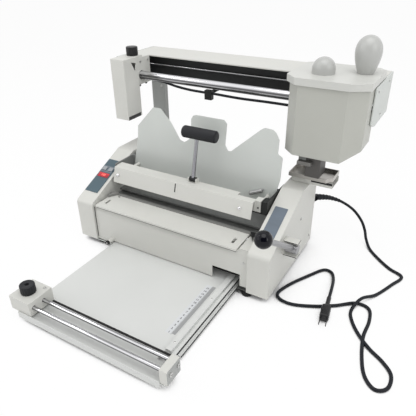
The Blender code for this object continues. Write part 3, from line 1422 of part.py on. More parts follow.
def pot_lid(moving):
    """Octagonal lid with a turned-down lip, the domed knob moulded on it, and the egg-shaped push handle."""
    hinge = pivot("lid_axis", (DOME_X, LID_REAR_Y, LID_BOTTOM_Z), moving)
    width = LID_RIGHT_X - LID_LEFT_X
    plan = [
        (LID_LEFT_X, LID_FRONT_Y + POT_CHAMFER_LEFT_Y),
        (LID_LEFT_X + POT_CHAMFER_LEFT_X, LID_FRONT_Y),
        (LID_RIGHT_X - POT_CHAMFER_RIGHT_X, LID_FRONT_Y),
        (LID_RIGHT_X, LID_FRONT_Y + POT_CHAMFER_RIGHT_Y),
        (LID_RIGHT_X, LID_REAR_Y - width * LID_CORNER_SHARE),
        (LID_RIGHT_X - width * LID_CORNER_SHARE, LID_REAR_Y),
        (LID_LEFT_X + width * LID_CORNER_SHARE, LID_REAR_Y),
        (LID_LEFT_X, LID_REAR_Y - width * LID_CORNER_SHARE),
    ]
    top = LID_BOTTOM_Z + LID_THICK
    lid = outline(plan, "Z", LID_BOTTOM_Z, top)
    round_edges(lid, SHEET / 2, 2)
    dome = [(0, DOME_HEIGHT)]
    straight = DOME_HEIGHT - DOME_RADIUS
    for step in range(1, DOME_STEPS + 1):
        angle = math.pi / 2 * step / DOME_STEPS
        dome.append((DOME_RADIUS * math.sin(angle), straight + DOME_RADIUS * math.cos(angle)))
    dome.append((DOME_RADIUS, -SHEET))
    dome.append((0, -SHEET))
    join(lid, turned(dome, (DOME_X, DOME_Y, top)))
    keep(lid, "pot_lid", "warm_grey_paint", hinge)
    profile = [(u * HANDLE_RADIUS, v * HANDLE_HEIGHT) for u, v in HANDLE_PROFILE_SHARES]
    profile.append((0, 0))
    handle = turned(profile, (HANDLE_X, HANDLE_Y, top + GAP), sides=32)
    keep(handle, "push_handle", "grey_plastic", hinge)


def drip_tray(root):
    """Shallow tray under the parked pot; it slides out to the right on a black stand on the housing."""
    moving = pivot("tray_axis", (TRAY_LEFT_X, TRAY_FRONT_Y, TRAY_TOP_Z), root)
    right = TRAY_LEFT_X + TRAY_WIDTH
    rear = TRAY_FRONT_Y + TRAY_DEPTH
    bottom = TRAY_TOP_Z - TRAY_HEIGHT
    plan = [
        (TRAY_LEFT_X, TRAY_FRONT_Y),
        (right - TRAY_CHAMFER, TRAY_FRONT_Y),
        (right, TRAY_FRONT_Y + TRAY_CHAMFER),
        (right, rear),
        (TRAY_LEFT_X + TRAY_CHAMFER, rear),
        (TRAY_LEFT_X, rear - TRAY_CHAMFER),
    ]
    wall = TRAY_WALL
    inner = [
        (TRAY_LEFT_X + wall, TRAY_FRONT_Y + wall),
        (right - TRAY_CHAMFER - wall / 2, TRAY_FRONT_Y + wall),
        (right - wall, TRAY_FRONT_Y + TRAY_CHAMFER + wall / 2),
        (right - wall, rear - wall),
        (TRAY_LEFT_X + TRAY_CHAMFER + wall / 2, rear - wall),
        (TRAY_LEFT_X + wall, rear - TRAY_CHAMFER - wall / 2),
    ]
    tray = outline(plan, "Z", bottom, TRAY_TOP_Z)
    cut(tray, outline(inner, "Z", bottom + wall, TRAY_TOP_Z + OVERRUN))
    keep(tray, "drip_tray", "aluminium", moving)
    low_z = HOUSING_TOP_Z + GAP
    inset = TRAY_STAND_INSET
    stand_path = [
        (TRAY_FRONT_Y + inset, bottom - GAP),
        (TRAY_FRONT_Y + inset, low_z),
        (rear - inset, low_z),
        (rear - inset, bottom - GAP),
    ]
    stand_right = TRAY_LEFT_X + inset + TRAY_STAND_WIDTH
    stand = folded(stand_path, SHEET, TRAY_LEFT_X + inset, stand_right, -1)
    keep(stand, "tray_stand", "black_steel", root)


def control_panel(root):
    """Film panel on the left slope, framing a raised display window, and its two keys."""
    low_y, high_y = CONTROL_LOW_Y, CONTROL_HIGH_Y
    right = CONTROL_LEFT_X + CONTROL_WIDTH
    section = [
        slope_point(low_y, GAP),
        slope_point(high_y, GAP),
        slope_point(high_y, GAP + CONTROL_THICK),
        slope_point(low_y, GAP + CONTROL_THICK),
    ]
    film = outline(section, "X", CONTROL_LEFT_X, right)
    length = high_y - low_y
    start = low_y + length * DISPLAY_START_SHARE
    end = low_y + length * DISPLAY_END_SHARE
    window = [
        slope_point(start, CONTROL_THICK / 2),
        slope_point(end, CONTROL_THICK / 2),
        slope_point(end, GAP + CONTROL_THICK + CONTROL_FRAME),
        slope_point(start, GAP + CONTROL_THICK + CONTROL_FRAME),
    ]
    join(film, outline(window, "X", CONTROL_LEFT_X + KEY_WIDTH / 4, right - KEY_WIDTH / 4))
    keep(film, "control_panel", "teal_film", root)
    middle_y = low_y + length * KEY_SHARE
    pitch = CONTROL_WIDTH / 2
    for index in range(2):
        x = CONTROL_LEFT_X + pitch * (index + 0.5)
        lift = GAP + CONTROL_THICK + GAP + KEY_TRAVEL
        key_section = [
            slope_point(middle_y - KEY_LENGTH / 2, lift),
            slope_point(middle_y + KEY_LENGTH / 2, lift),
            slope_point(middle_y + KEY_LENGTH / 2, lift + KEY_RAISE),
            slope_point(middle_y - KEY_LENGTH / 2, lift + KEY_RAISE),
        ]
        y, z = slope_point(middle_y, lift)
        axis = pivot(f"key_{index + 1}_axis", (x, y, z), root)
        key = outline(key_section, "X", x - KEY_WIDTH / 2, x + KEY_WIDTH / 2)
        keep(key, f"key_{index + 1}", "grey_plastic", axis)


def side_lever(root):
    """Nip lever on the right housing: shaft with its crank inside, tapered rod and black ball, and its fork."""
    axis = pivot("side_lever_axis", (SIDE_ROD_X, SIDE_HUB_Y, SIDE_HUB_Z), root)
    hub_start = (SIDE_ROD_X - SIDE_HUB_WIDTH / 2, SIDE_HUB_Y, SIDE_HUB_Z)
    hub_end = (SIDE_ROD_X + SIDE_HUB_WIDTH / 2, SIDE_HUB_Y, SIDE_HUB_Z)
    hub = rod(hub_start, hub_end, SIDE_HUB_RADIUS)
    shaft_start = (SIDE_SHAFT_INNER_X, SIDE_HUB_Y, SIDE_HUB_Z)
    join(hub, rod(shaft_start, (SIDE_ROD_X, SIDE_HUB_Y, SIDE_HUB_Z), SIDE_SHAFT_RADIUS))
    crank_z = SIDE_HUB_Z - CRANK_LENGTH
    crank = [
        (SIDE_HUB_Y - SIDE_HUB_RADIUS, SIDE_HUB_Z),
        (SIDE_HUB_Y - SIDE_SHAFT_RADIUS, crank_z),
        (SIDE_HUB_Y + SIDE_SHAFT_RADIUS, crank_z),
        (SIDE_HUB_Y + SIDE_HUB_RADIUS, SIDE_HUB_Z),
        (SIDE_HUB_Y, SIDE_HUB_Z + SIDE_HUB_RADIUS),
    ]
    crank_x = SIDE_SHAFT_INNER_X + CRANK_THICK
    join(hub, outline(crank, "X", crank_x, crank_x + CRANK_THICK))
    keep(hub, "side_lever_hub", "steel", axis)
    direction = Vector((0, -math.cos(SIDE_LEVER_ANGLE), math.sin(SIDE_LEVER_ANGLE)))
    centre = Vector((SIDE_ROD_X, SIDE_HUB_Y, SIDE_HUB_Z))
    ball_centre = centre + direction * SIDE_LEVER_LENGTH
    rod_start = centre + direction * (SIDE_HUB_RADIUS + GAP)
    rod_end = ball_centre - direction * (SIDE_BALL_RADIUS / 2 + GAP)
    shaft = rod(rod_start, rod_end, SIDE_ROD_THICK_RADIUS, SIDE_ROD_THIN_RADIUS)
    keep(shaft, "side_lever_rod", "steel", axis)
    ball = [(0, SIDE_BALL_RADIUS)]
    for step in range(1, BALL_STEPS):
        angle = math.pi * step / BALL_STEPS
        if SIDE_BALL_RADIUS * math.sin(angle) < SIDE_NECK_RADIUS and angle > math.pi / 2:
            break
        ball.append((SIDE_BALL_RADIUS * math.sin(angle), SIDE_BALL_RADIUS * math.cos(angle)))
    neck = SIDE_BALL_RADIUS + SIDE_NECK_LENGTH / 4
    ball.append((SIDE_NECK_RADIUS, -neck))
    ball.append((0, -neck))
    knob = turned(ball, ball_centre, direction)
    bore_start = ball_centre - direction * (SIDE_BALL_RADIUS * 2)
    bore_end = ball_centre - direction * (SIDE_BALL_RADIUS / 2)
    cut(knob, rod(bore_start, bore_end, SIDE_ROD_THICK_RADIUS))
    keep(knob, "side_lever_ball", "black_plastic", axis)

    outer = HOUSING_OUTER_X + GAP
    fork = box((outer, FORK_FRONT_Y, FORK_BOTTOM_Z), (outer + FORK_REACH, FORK_REAR_Y, FORK_TOP_Z))
    hollow_low = (outer + FORK_SHEET, FORK_FRONT_Y - OVERRUN, FORK_BOTTOM_Z + FORK_SHEET)
    hollow_high = (outer + FORK_REACH + OVERRUN, FORK_REAR_Y + OVERRUN, FORK_TOP_Z - FORK_SHEET)
    cut(fork, box(hollow_low, hollow_high))
    bore = SIDE_SHAFT_RADIUS + RUNNING
    start = (outer - OVERRUN, SIDE_HUB_Y, SIDE_HUB_Z)
    cut(fork, rod(start, (outer + FORK_SHEET + OVERRUN / 2, SIDE_HUB_Y, SIDE_HUB_Z), bore))
    keep(fork, "side_lever_fork", "steel", root)


def creasing_table(root):
    """Pull-out table: plate with its lip, rails and runners, the anvil strip, two rods and their end blocks."""
    moving = pivot("table_axis", (0, TABLE_FRONT_Y, TABLE_TOP_Z), root)
    top, under = TABLE_TOP_Z, TABLE_BOTTOM_Z
    plate = box((TABLE_LEFT_X, TABLE_FRONT_Y, under), (TABLE_RIGHT_X, TABLE_REAR_Y, top))
    groove_low = (GROOVE_LEFT_X, GROOVE_FRONT_Y, under - OVERRUN)
    groove_high = (GROOVE_LEFT_X + GROOVE_WIDTH, GROOVE_REAR_Y, top + OVERRUN)
    cut(plate, box(groove_low, groove_high))
    lip_low = (TABLE_LEFT_X, TABLE_FRONT_Y - SHEET, LIP_BOTTOM_Z)
    lip_high = (LIP_RIGHT_X, TABLE_FRONT_Y + GAP, LIP_TOP_Z)
    join(plate, box(lip_low, lip_high))
    rail_a_right = RAIL_A_LEFT_X + RAIL_A_WIDTH
    rail_b_right = RAIL_B_LEFT_X + RAIL_B_WIDTH
    shelf_low = (TABLE_RIGHT_X - SHEET, RAIL_A_FRONT_Y, under - SHEET)
    shelf_high = (rail_b_right, RAIL_REAR_Y, under + SHEET / 2)
    join(plate, box(shelf_low, shelf_high))
    join(plate, box((RAIL_A_LEFT_X, RAIL_A_FRONT_Y, under), (rail_a_right, RAIL_REAR_Y, RAIL_A_TOP_Z)))
    rail_b_front = RAIL_A_FRONT_Y - SHEET
    join(plate, box((RAIL_B_LEFT_X, rail_b_front, under - SHEET), (rail_b_right, RAIL_REAR_Y, top)))
    left_low = (TABLE_LEFT_X, RUNNER_FRONT_Y, RUNNER_BOTTOM_Z)
    left_high = (TABLE_LEFT_X + RUNNER_WIDTH, TABLE_REAR_Y, under + SHEET / 2)
    join(plate, box(left_low, left_high))
    right_low = (RUNNER_RIGHT_X - RUNNER_WIDTH, RUNNER_FRONT_Y, RUNNER_BOTTOM_Z)
    right_high = (RUNNER_RIGHT_X, TABLE_REAR_Y, RUNNER_TOP_Z)
    join(plate, box(right_low, right_high))
    web_low = (RUNNER_RIGHT_X - RUNNER_WIDTH, RUNNER_FRONT_Y, RUNNER_TOP_Z - SHEET)
    web_high = (rail_b_right, RAIL_REAR_Y, under - SHEET / 2)
    join(plate, box(web_low, web_high))
    block_rear = ROD_REAR_Y + ROD_RADIUS
    tongue_high = (END_BLOCK_LEFT_X + END_BLOCK_WIDTH / 2, block_rear, top)
    join(plate, box((TABLE_RIGHT_X - SHEET, TABLE_FRONT_Y, under), tongue_high))
    keep(plate, "table_plate", "cool_grey_paint", moving)
    anvil_low = (ANVIL_LEFT_X, ANVIL_Y - ANVIL_WIDTH / 2, top + GAP)
    anvil_high = (ANVIL_RIGHT_X, ANVIL_Y + ANVIL_WIDTH / 2, ANVIL_TOP_Z)
    keep(box(anvil_low, anvil_high), "anvil_strip", "rubber", moving)

    block_front = TABLE_FRONT_Y + GAP * 2
    right_block_low = (END_BLOCK_LEFT_X, block_front, top + GAP)
    right_block_high = (END_BLOCK_LEFT_X + END_BLOCK_WIDTH, block_rear, END_BLOCK_TOP_Z)
    right_block = box(right_block_low, right_block_high, SHEET)
    keep(right_block, "rod_end_right", "warm_grey_paint", moving)
    left_block_right = TABLE_LEFT_X + LEFT_BLOCK_WIDTH
    left_block_low = (TABLE_LEFT_X + SHEET / 2, ROD_FRONT_Y - ROD_RADIUS - LEFT_BLOCK_EDGE, top + GAP)
    left_block_high = (left_block_right, ROD_REAR_Y + ROD_RADIUS + LEFT_BLOCK_EDGE, LEFT_BLOCK_TOP_Z)
    keep(box(left_block_low, left_block_high), "rod_end_left", "steel", moving)
    for name, y in (("rod_front", ROD_FRONT_Y), ("rod_rear", ROD_REAR_Y)):
        start = (left_block_right + GAP, y, ROD_Z)
        end = (END_BLOCK_LEFT_X - GAP, y, ROD_Z)
        keep(rod(start, end, ROD_RADIUS), name, "chrome", moving)
    creasing_carriage(moving)


def creasing_carriage(table_axis):
    """Hood that runs on the two rods, open below and at its left, with its creasing wheel and pressure knob."""
    right = CARRIAGE_LEFT_X + CARRIAGE_WIDTH
    rear = CARRIAGE_FRONT_Y + CARRIAGE_DEPTH
    moving = pivot("carriage_axis", (right, ROD_REAR_Y, ROD_Z), table_axis)
    hood = box(
        (CARRIAGE_LEFT_X, CARRIAGE_FRONT_Y, CARRIAGE_BOTTOM_Z),
        (right, rear, CARRIAGE_TOP_Z),
        SHEET / 2,
    )
    wall = CARRIAGE_WALL
    hollow_low = (CARRIAGE_LEFT_X - OVERRUN, CARRIAGE_FRONT_Y + wall, CARRIAGE_BOTTOM_Z - OVERRUN)
    hollow_high = (right - CARRIAGE_BEARING, rear - wall, CARRIAGE_TOP_Z - wall)
    cut(hood, box(hollow_low, hollow_high))
    for y in (ROD_FRONT_Y, ROD_REAR_Y):
        start = (right - CARRIAGE_BEARING - OVERRUN, y, ROD_Z)
        cut(hood, rod(start, (right + OVERRUN, y, ROD_Z), ROD_RADIUS + RUNNING))
    hole_low = (KNOB_X, KNOB_Y, CARRIAGE_TOP_Z - wall - OVERRUN)
    hole_high = (KNOB_X, KNOB_Y, CARRIAGE_TOP_Z + OVERRUN)
    cut(hood, rod(hole_low, hole_high, KNOB_STEM_RADIUS + RUNNING))
    keep(hood, "crease_carriage", "warm_grey_paint", moving)

    wheel_z = ANVIL_TOP_Z + GAP + WHEEL_RADIUS
    spin = pivot("wheel_axis", (WHEEL_X, ANVIL_Y, wheel_z), moving)
    half = WHEEL_THICK / 2
    profile = [
        (0, half),
        (WHEEL_RADIUS - half, half),
        (WHEEL_RADIUS, half / 4),
        (WHEEL_RADIUS, -half / 4),
        (WHEEL_RADIUS - half, -half),
        (0, -half),
    ]
    wheel = turned(profile, (WHEEL_X, ANVIL_Y, wheel_z), (0, 1, 0))
    axle_end = (WHEEL_X, rear - wall - GAP, wheel_z)
    join(wheel, rod((WHEEL_X, ANVIL_Y, wheel_z), axle_end, WHEEL_AXLE_RADIUS))
    keep(wheel, "crease_wheel", "steel", spin)

    knob_axis = pivot("carriage_knob_axis", (KNOB_X, KNOB_Y, CARRIAGE_TOP_Z), moving)
    bottom = CARRIAGE_TOP_Z + GAP
    knob = outline(fluted(KNOB_RADIUS, KNOB_LOBES, KNOB_LOBE_DEPTH), "Z", bottom, bottom + KNOB_HEIGHT)
    knob.location += Vector((KNOB_X, KNOB_Y, 0))
    round_edges(knob, KNOB_EDGE, 2, math.radians(60))
    stem_low = (KNOB_X, KNOB_Y, CARRIAGE_TOP_Z - KNOB_STEM_LENGTH)
    join(knob, rod(stem_low, (KNOB_X, KNOB_Y, bottom + SHEET * 2), KNOB_STEM_RADIUS))
    keep(knob, "crease_knob", "black_plastic", knob_axis)


def cables(root):
    """The two slack leads of the moving heads, straight for one diameter at each end."""
    clip_left = CLIP_X - CLIP_WIDTH / 2 - GAP
    clip_right = CLIP_X + CLIP_WIDTH / 2 + GAP
    leads = {
        "head_cable": (BRACKET_RIGHT_X + GAP, clip_left, HEAD_CABLE_Y, HEAD_CABLE_SAG_SHARES),
        "pot_cable": (clip_right, POT_LEFT_X - GAP, POT_CABLE_Y, POT_CABLE_SAG_SHARES),
    }
    for name, (start_x, end_x, end_y, sags) in leads.items():
        lead = CABLE_RADIUS * 2
        start_z = CLIP_Z - CABLE_SAG * sags[0]
        end_z = CLIP_Z - CABLE_SAG * sags[-1]
        route = []
        for index, sag in enumerate(sags):
            share = index / (len(sags) - 1)
            x = start_x + lead + (end_x - start_x - lead * 2) * share
            y = HEAD_CABLE_Y + (end_y - HEAD_CABLE_Y) * share
            route.append((x, y, CLIP_Z - CABLE_SAG * sag))
        start = (start_x, HEAD_CABLE_Y, start_z)
        points = [start, *smooth_route(route, CABLE_POINTS), (end_x, end_y, end_z)]
        keep(tube(points, CABLE_RADIUS), name, "rubber", root)


def mains_cord(root):
    """Strain relief in the rear of the right housing, the free cord, and the two-blade plug on its end."""
    wall = HOUSING_DEPTH
    profile = [(0, RELIEF_LENGTH + RELIEF_FLANGE_THICK), (CORD_RADIUS, RELIEF_LENGTH + RELIEF_FLANGE_THICK)]
    for rib in range(RELIEF_RIBS):
        share = rib / RELIEF_RIBS
        radius = CORD_RADIUS + (RELIEF_RADIUS - CORD_RADIUS) * (share + RELIEF_TAPER_SHARE)
        height = RELIEF_FLANGE_THICK + RELIEF_LENGTH * (1 - share)
        pitch = RELIEF_LENGTH / RELIEF_RIBS
        groove = radius - CORD_RADIUS * RELIEF_GROOVE_SHARE
        for reach, place_share in zip((radius, radius, groove, groove), RELIEF_RIB_SHARES):
            profile.append((reach, height - pitch * place_share))
    profile += [
        (RELIEF_FLANGE, RELIEF_FLANGE_THICK),
        (RELIEF_FLANGE, GAP),
        (RELIEF_RADIUS, GAP),
        (RELIEF_RADIUS, -SHEET * 2),
        (0, -SHEET * 2),
    ]
    relief = turned(profile, (CORD_X, wall, CORD_Z), (0, 1, 0))
    keep(relief, "strain_relief", "rubber", root)

    start = Vector((CORD_X, wall + RELIEF_FLANGE_THICK + RELIEF_LENGTH + GAP, CORD_Z))
    lead = start + Vector((0, CORD_RADIUS * 2, 0))
    points = [start, *smooth_route([lead, *CORD_ROUTE[1:]], CORD_POINTS)]
    keep(tube(points, CORD_RADIUS), "mains_cord", "rubber", root)
    plug(root, Vector(CORD_ROUTE[-1]))


def plug(root, end):
    """Moulded two-blade plug lying on the ground in the direction in which the cord ends."""
    heading = Vector((math.cos(PLUG_HEADING), math.sin(PLUG_HEADING), 0))
    across = Vector((heading.y, -heading.x, 0))
    turn = Matrix.Identity(4)
    turn.col[0][:3] = across
    turn.col[1][:3] = heading
    turn.translation = end
    half_height = PLUG_HEIGHT / 2
    neck = PLUG_NECK_LENGTH
    body = box(
        (-PLUG_WIDTH / 2, neck, -half_height),
        (PLUG_WIDTH / 2, neck + PLUG_LENGTH, half_height),
        SHEET * 2,
    )
    stem_end = (0, neck + OVERRUN, 0)
    stem = rod((0, GAP, 0), stem_end, CORD_RADIUS * PLUG_STEM_SHARE, half_height * PLUG_SHOULDER_SHARE)
    pieces = [stem]
    for side in (-1, 1):
        x = side * BLADE_SPACING / 2
        low = (x - BLADE_THICK / 2, neck + PLUG_LENGTH - OVERRUN, -BLADE_WIDTH / 2)
        high = (x + BLADE_THICK / 2, neck + PLUG_LENGTH + BLADE_LENGTH, BLADE_WIDTH / 2)
        pieces.append(box(low, high))
    bpy.context.view_layer.update()
    for piece in (body, *pieces):
        piece.matrix_world = turn @ piece.matrix_world
    join(body, *pieces)
    keep(body, "plug", "black_plastic", root)


def main():
    root = pivot("assembly", (0, 0, 0), None)
    base_frame(root)
    feet(root)
    housing("housing_left", -1, root)
    housing("housing_right", 1, root)
    front_panel(root)
    spine_rest(root)
    nip(root)
    clamp(root)
    gantry(root)
    milling_head(root)
    glue_pot(root)
    drip_tray(root)
    control_panel(root)
    side_lever(root)
    creasing_table(root)
    cables(root)
    mains_cord(root)
    for cutter in CUTTERS.objects:
        cutter.parent = root
    root.location = (-FOOTPRINT_X, -FOOTPRINT_Y, 0)


clear_scene()
PARTS = new_collection("thermal_binding_machine")
CUTTERS = new_collection("cutters", hidden=True)
main()
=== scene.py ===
import json
import math

import bmesh
import bpy
from mathutils import Matrix, Vector

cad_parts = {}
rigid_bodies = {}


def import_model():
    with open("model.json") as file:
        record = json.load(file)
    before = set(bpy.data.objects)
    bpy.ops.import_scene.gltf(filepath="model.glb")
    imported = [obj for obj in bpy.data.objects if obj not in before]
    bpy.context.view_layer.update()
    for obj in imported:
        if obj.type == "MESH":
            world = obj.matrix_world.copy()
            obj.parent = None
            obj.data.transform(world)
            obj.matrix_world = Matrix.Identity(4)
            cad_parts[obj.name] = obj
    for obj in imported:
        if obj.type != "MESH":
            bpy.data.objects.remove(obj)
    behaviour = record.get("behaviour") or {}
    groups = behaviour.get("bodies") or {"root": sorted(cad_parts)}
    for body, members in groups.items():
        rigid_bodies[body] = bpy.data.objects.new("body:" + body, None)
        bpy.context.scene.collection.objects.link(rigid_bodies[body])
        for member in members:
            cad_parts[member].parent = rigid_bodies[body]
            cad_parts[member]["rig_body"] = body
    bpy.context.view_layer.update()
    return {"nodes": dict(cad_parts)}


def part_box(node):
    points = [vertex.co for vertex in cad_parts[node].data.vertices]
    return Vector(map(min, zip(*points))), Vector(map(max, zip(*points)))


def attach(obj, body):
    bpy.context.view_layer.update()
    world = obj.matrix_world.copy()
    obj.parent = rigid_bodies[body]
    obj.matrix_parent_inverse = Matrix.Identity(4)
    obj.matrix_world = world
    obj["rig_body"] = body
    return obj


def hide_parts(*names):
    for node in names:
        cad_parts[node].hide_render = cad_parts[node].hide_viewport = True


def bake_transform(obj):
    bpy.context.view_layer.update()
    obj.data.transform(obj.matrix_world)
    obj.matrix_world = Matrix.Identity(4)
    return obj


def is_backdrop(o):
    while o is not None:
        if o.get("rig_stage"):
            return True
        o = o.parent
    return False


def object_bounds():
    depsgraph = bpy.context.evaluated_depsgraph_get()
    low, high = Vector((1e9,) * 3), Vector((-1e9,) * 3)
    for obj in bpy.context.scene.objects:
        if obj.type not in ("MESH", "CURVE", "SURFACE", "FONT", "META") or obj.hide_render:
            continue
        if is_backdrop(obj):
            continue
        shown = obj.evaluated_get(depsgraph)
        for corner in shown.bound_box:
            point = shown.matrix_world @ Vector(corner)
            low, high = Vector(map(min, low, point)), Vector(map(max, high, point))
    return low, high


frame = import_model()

# Camera, floor and light
# The machine stands on a pale studio sweep under large soft lamps. The camera looks down on its right front
# corner. Places in this file are measured from the middle of the base, the housings' front and the ground.


def spot(x, y, z=0.0):
    """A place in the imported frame, whose origin is the middle of the whole footprint with the cord."""
    return Vector((x - 0.035, y - 0.0525, z))


scene = bpy.context.scene
scene.view_settings.view_transform = "Standard"


def in_scene(name, data):
    """A new object of the scene, made from its data."""
    made = bpy.data.objects.new(name, data)
    scene.collection.objects.link(made)
    return made


azimuth, pitch, roll = math.radians(30.625), math.radians(29.775), math.radians(-0.704)
camera_place = spot(0.505, -0.660, 0.6275)
sensor_width, picture_width, focal_pixels = 36, 416, 453.45
forward = Vector(
    (-math.sin(azimuth) * math.cos(pitch), math.cos(azimuth) * math.cos(pitch), -math.sin(pitch))
)
right = Vector((math.cos(azimuth), math.sin(azimuth), 0))
up = right.cross(forward)
right, up = math.cos(roll) * right + math.sin(roll) * up, math.cos(roll) * up - math.sin(roll) * right
camera = in_scene("camera", bpy.data.cameras.new("camera"))
camera.data.sensor_width = sensor_width
camera.data.lens = sensor_width * focal_pixels / picture_width
camera.data.clip_start, camera.data.clip_end = 0.01, 50
turn = Matrix((right, up, -forward)).transposed().to_4x4()
camera.matrix_world = Matrix.Translation(camera_place) @ turn
scene.camera = camera


def soft_lamp(name, place, aim, size, power):
    """A round soft lamp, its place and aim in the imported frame."""
    lamp = bpy.data.lights.new(name, "AREA")
    lamp.shape, lamp.size, lamp.energy = "DISK", size, power
    holder = in_scene(name, lamp)
    holder.location = place
    holder.rotation_mode = "QUATERNION"
    holder.rotation_quaternion = (Vector(aim) - Vector(place)).to_track_quat("-Z", "Y")


machine_middle, lever_ball_place = (0, 0, 0.2), (0.23, -0.14, 0.21)
soft_lamp("overhead_lamp", (0.3, -0.3, 2.6), (0, 0, 0.1), 2.2, 26)
soft_lamp("right_lamp", (2.3, -0.9, 1.5), machine_middle, 1.4, 13)
soft_lamp("left_lamp", (-2.0, -1.9, 1.2), machine_middle, 1.6, 5)
soft_lamp("left_window", (-1.35, -0.50, 1.70), lever_ball_place, 0.34, 2.2)
soft_lamp("left_window_low", (-1.62, -0.72, 1.18), lever_ball_place, 0.28, 1.6)


def seen_ray(nodes, links):
    """A socket that is 1 where the camera, a reflection or a refraction looks."""
    path = nodes.new("ShaderNodeLightPath")
    total = None
    for ray in ("Is Camera Ray", "Is Glossy Ray", "Is Transmission Ray"):
        if total is None:
            total = path.outputs[ray]
            continue
        add = nodes.new("ShaderNodeMath")
        add.operation = "ADD"
        add.use_clamp = True
        links.new(total, add.inputs[0])
        links.new(path.outputs[ray], add.inputs[1])
        total = add.outputs[0]
    return total


def set_sockets(node, values):
    """Give the named sockets of a node their values."""
    for socket, value in values.items():
        node.inputs[socket].default_value = value


world = bpy.data.worlds.new("studio")
scene.world = world
world.use_nodes = True
nodes, links = world.node_tree.nodes, world.node_tree.links
lit, shown = nodes["Background"], nodes.new("ShaderNodeBackground")
white, light_strength = (1, 1, 1, 1), 0.62
set_sockets(lit, {"Color": white, "Strength": light_strength})
set_sockets(shown, {"Color": white, "Strength": 1.0})
mix = nodes.new("ShaderNodeMixShader")
links.new(seen_ray(nodes, links), mix.inputs[0])
links.new(lit.outputs[0], mix.inputs[1])
links.new(shown.outputs[0], mix.inputs[2])
links.new(mix.outputs[0], nodes["World Output"].inputs["Surface"])


def studio_sheet(name, half_x, half_y):
    """A flat sheet of the studio, lying on the ground round the middle."""
    mesh = bpy.data.meshes.new(name)
    corners = [(-half_x, -half_y, 0), (half_x, -half_y, 0), (half_x, half_y, 0), (-half_x, half_y, 0)]
    mesh.from_pydata(corners, [], [(0, 1, 2, 3)])
    return in_scene(name, mesh)


floor = studio_sheet("floor", 14, 14)
sweep = bpy.data.materials.new("studio_sweep")
sweep.use_nodes = True
nodes, links = sweep.node_tree.nodes, sweep.node_tree.links
paper, glow = nodes["Principled BSDF"], nodes.new("ShaderNodeEmission")
mix = nodes.new("ShaderNodeMixShader")
set_sockets(paper, {"Base Color": (0.95, 0.95, 0.95, 1), "Roughness": 0.95, "Specular IOR Level": 0.0})
set_sockets(glow, {"Strength": 1.0})
open_sky, open_share = nodes.new("ShaderNodeAmbientOcclusion"), nodes.new("ShaderNodeMapRange")
set_sockets(open_sky, {"Distance": 0.32})
set_sockets(open_share, {"From Min": 0.30, "From Max": 0.62, "To Min": 0.0, "To Max": 0.93})
links.new(open_sky.outputs["AO"], open_share.inputs["Value"])
share = nodes.new("ShaderNodeMath")
share.operation = "MULTIPLY"
links.new(seen_ray(nodes, links), share.inputs[0])
links.new(open_share.outputs[0], share.inputs[1])
links.new(share.outputs[0], mix.inputs[0])
links.new(paper.outputs[0], mix.inputs[1])
links.new(glow.outputs[0], mix.inputs[2])
links.new(mix.outputs[0], nodes["Material Output"].inputs["Surface"])
floor.data.materials.append(sweep)
floor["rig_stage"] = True

flag = studio_sheet("black_flag", 1.3, 0.8)
flag.matrix_world = Matrix.Translation(spot(0.90, -1.40, 1.15)) @ turn
flag.visible_camera = flag.visible_diffuse = flag.visible_shadow = flag.visible_transmission = False
cloth = bpy.data.materials.new("black_cloth")
cloth.use_nodes = True
shader = cloth.node_tree.nodes["Principled BSDF"]
set_sockets(shader, {"Base Color": (0.012, 0.012, 0.012, 1), "Roughness": 0.95})
flag.data.materials.append(cloth)
flag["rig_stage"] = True

# Base frame and feet
# A laser-cut steel sheet, 3 mm thick, ties the two housings and the posts together and carries the table's
# tracks. Four moulded rubber feet are screwed to it from below; the right front one has a round pad.


def finish_shader(
    name, colour, roughness, metallic=0.0, grain=0.0, grain_scale=900.0, patches=0.05, coat=0.0,
    streak=None, sheen=0.5,
):
    """A finish with a fine grain, slow changes of shade and gloss, and drawn streaks where asked for."""
    made = bpy.data.materials.new(name)
    made.use_nodes = True
    nodes, links = made.node_tree.nodes, made.node_tree.links
    shader = nodes["Principled BSDF"]
    set_sockets(shader, {"Metallic": metallic, "Coat Weight": coat, "Specular IOR Level": sheen})
    place = nodes.new("ShaderNodeTexCoord")
    stretch = nodes.new("ShaderNodeMapping")
    set_sockets(stretch, {"Scale": streak or (1, 1, 1)})
    links.new(place.outputs["Object"], stretch.inputs["Vector"])
    cloud = nodes.new("ShaderNodeTexNoise")
    set_sockets(cloud, {"Scale": 7.0 if streak is None else 40.0, "Detail": 4.0})
    links.new(stretch.outputs[0], cloud.inputs["Vector"])
    shade = nodes.new("ShaderNodeValToRGB")
    dark = [c * (1 - patches) for c in colour]
    light = [min(1.0, c * (1 + patches)) for c in colour]
    for stop, place, tone in zip(shade.color_ramp.elements, (0.35, 0.65), (dark, light)):
        stop.position, stop.color = place, (*tone, 1)
    links.new(cloud.outputs["Fac"], shade.inputs[0])
    links.new(shade.outputs[0], shader.inputs["Base Color"])
    gloss = nodes.new("ShaderNodeMapRange")
    smooth, rough = roughness * 0.85, roughness * 1.15
    set_sockets(gloss, {"From Min": 0.3, "From Max": 0.7, "To Min": smooth, "To Max": rough})
    links.new(cloud.outputs["Fac"], gloss.inputs["Value"])
    links.new(gloss.outputs[0], shader.inputs["Roughness"])
    if grain:
        fine = nodes.new("ShaderNodeTexNoise")
        set_sockets(fine, {"Scale": grain_scale, "Detail": 2.0})
        links.new(stretch.outputs[0], fine.inputs["Vector"])
        bump = nodes.new("ShaderNodeBump")
        set_sockets(bump, {"Strength": grain, "Distance": 0.0002})
        links.new(fine.outputs["Fac"], bump.inputs["Height"])
        links.new(bump.outputs[0], shader.inputs["Normal"])
    return made


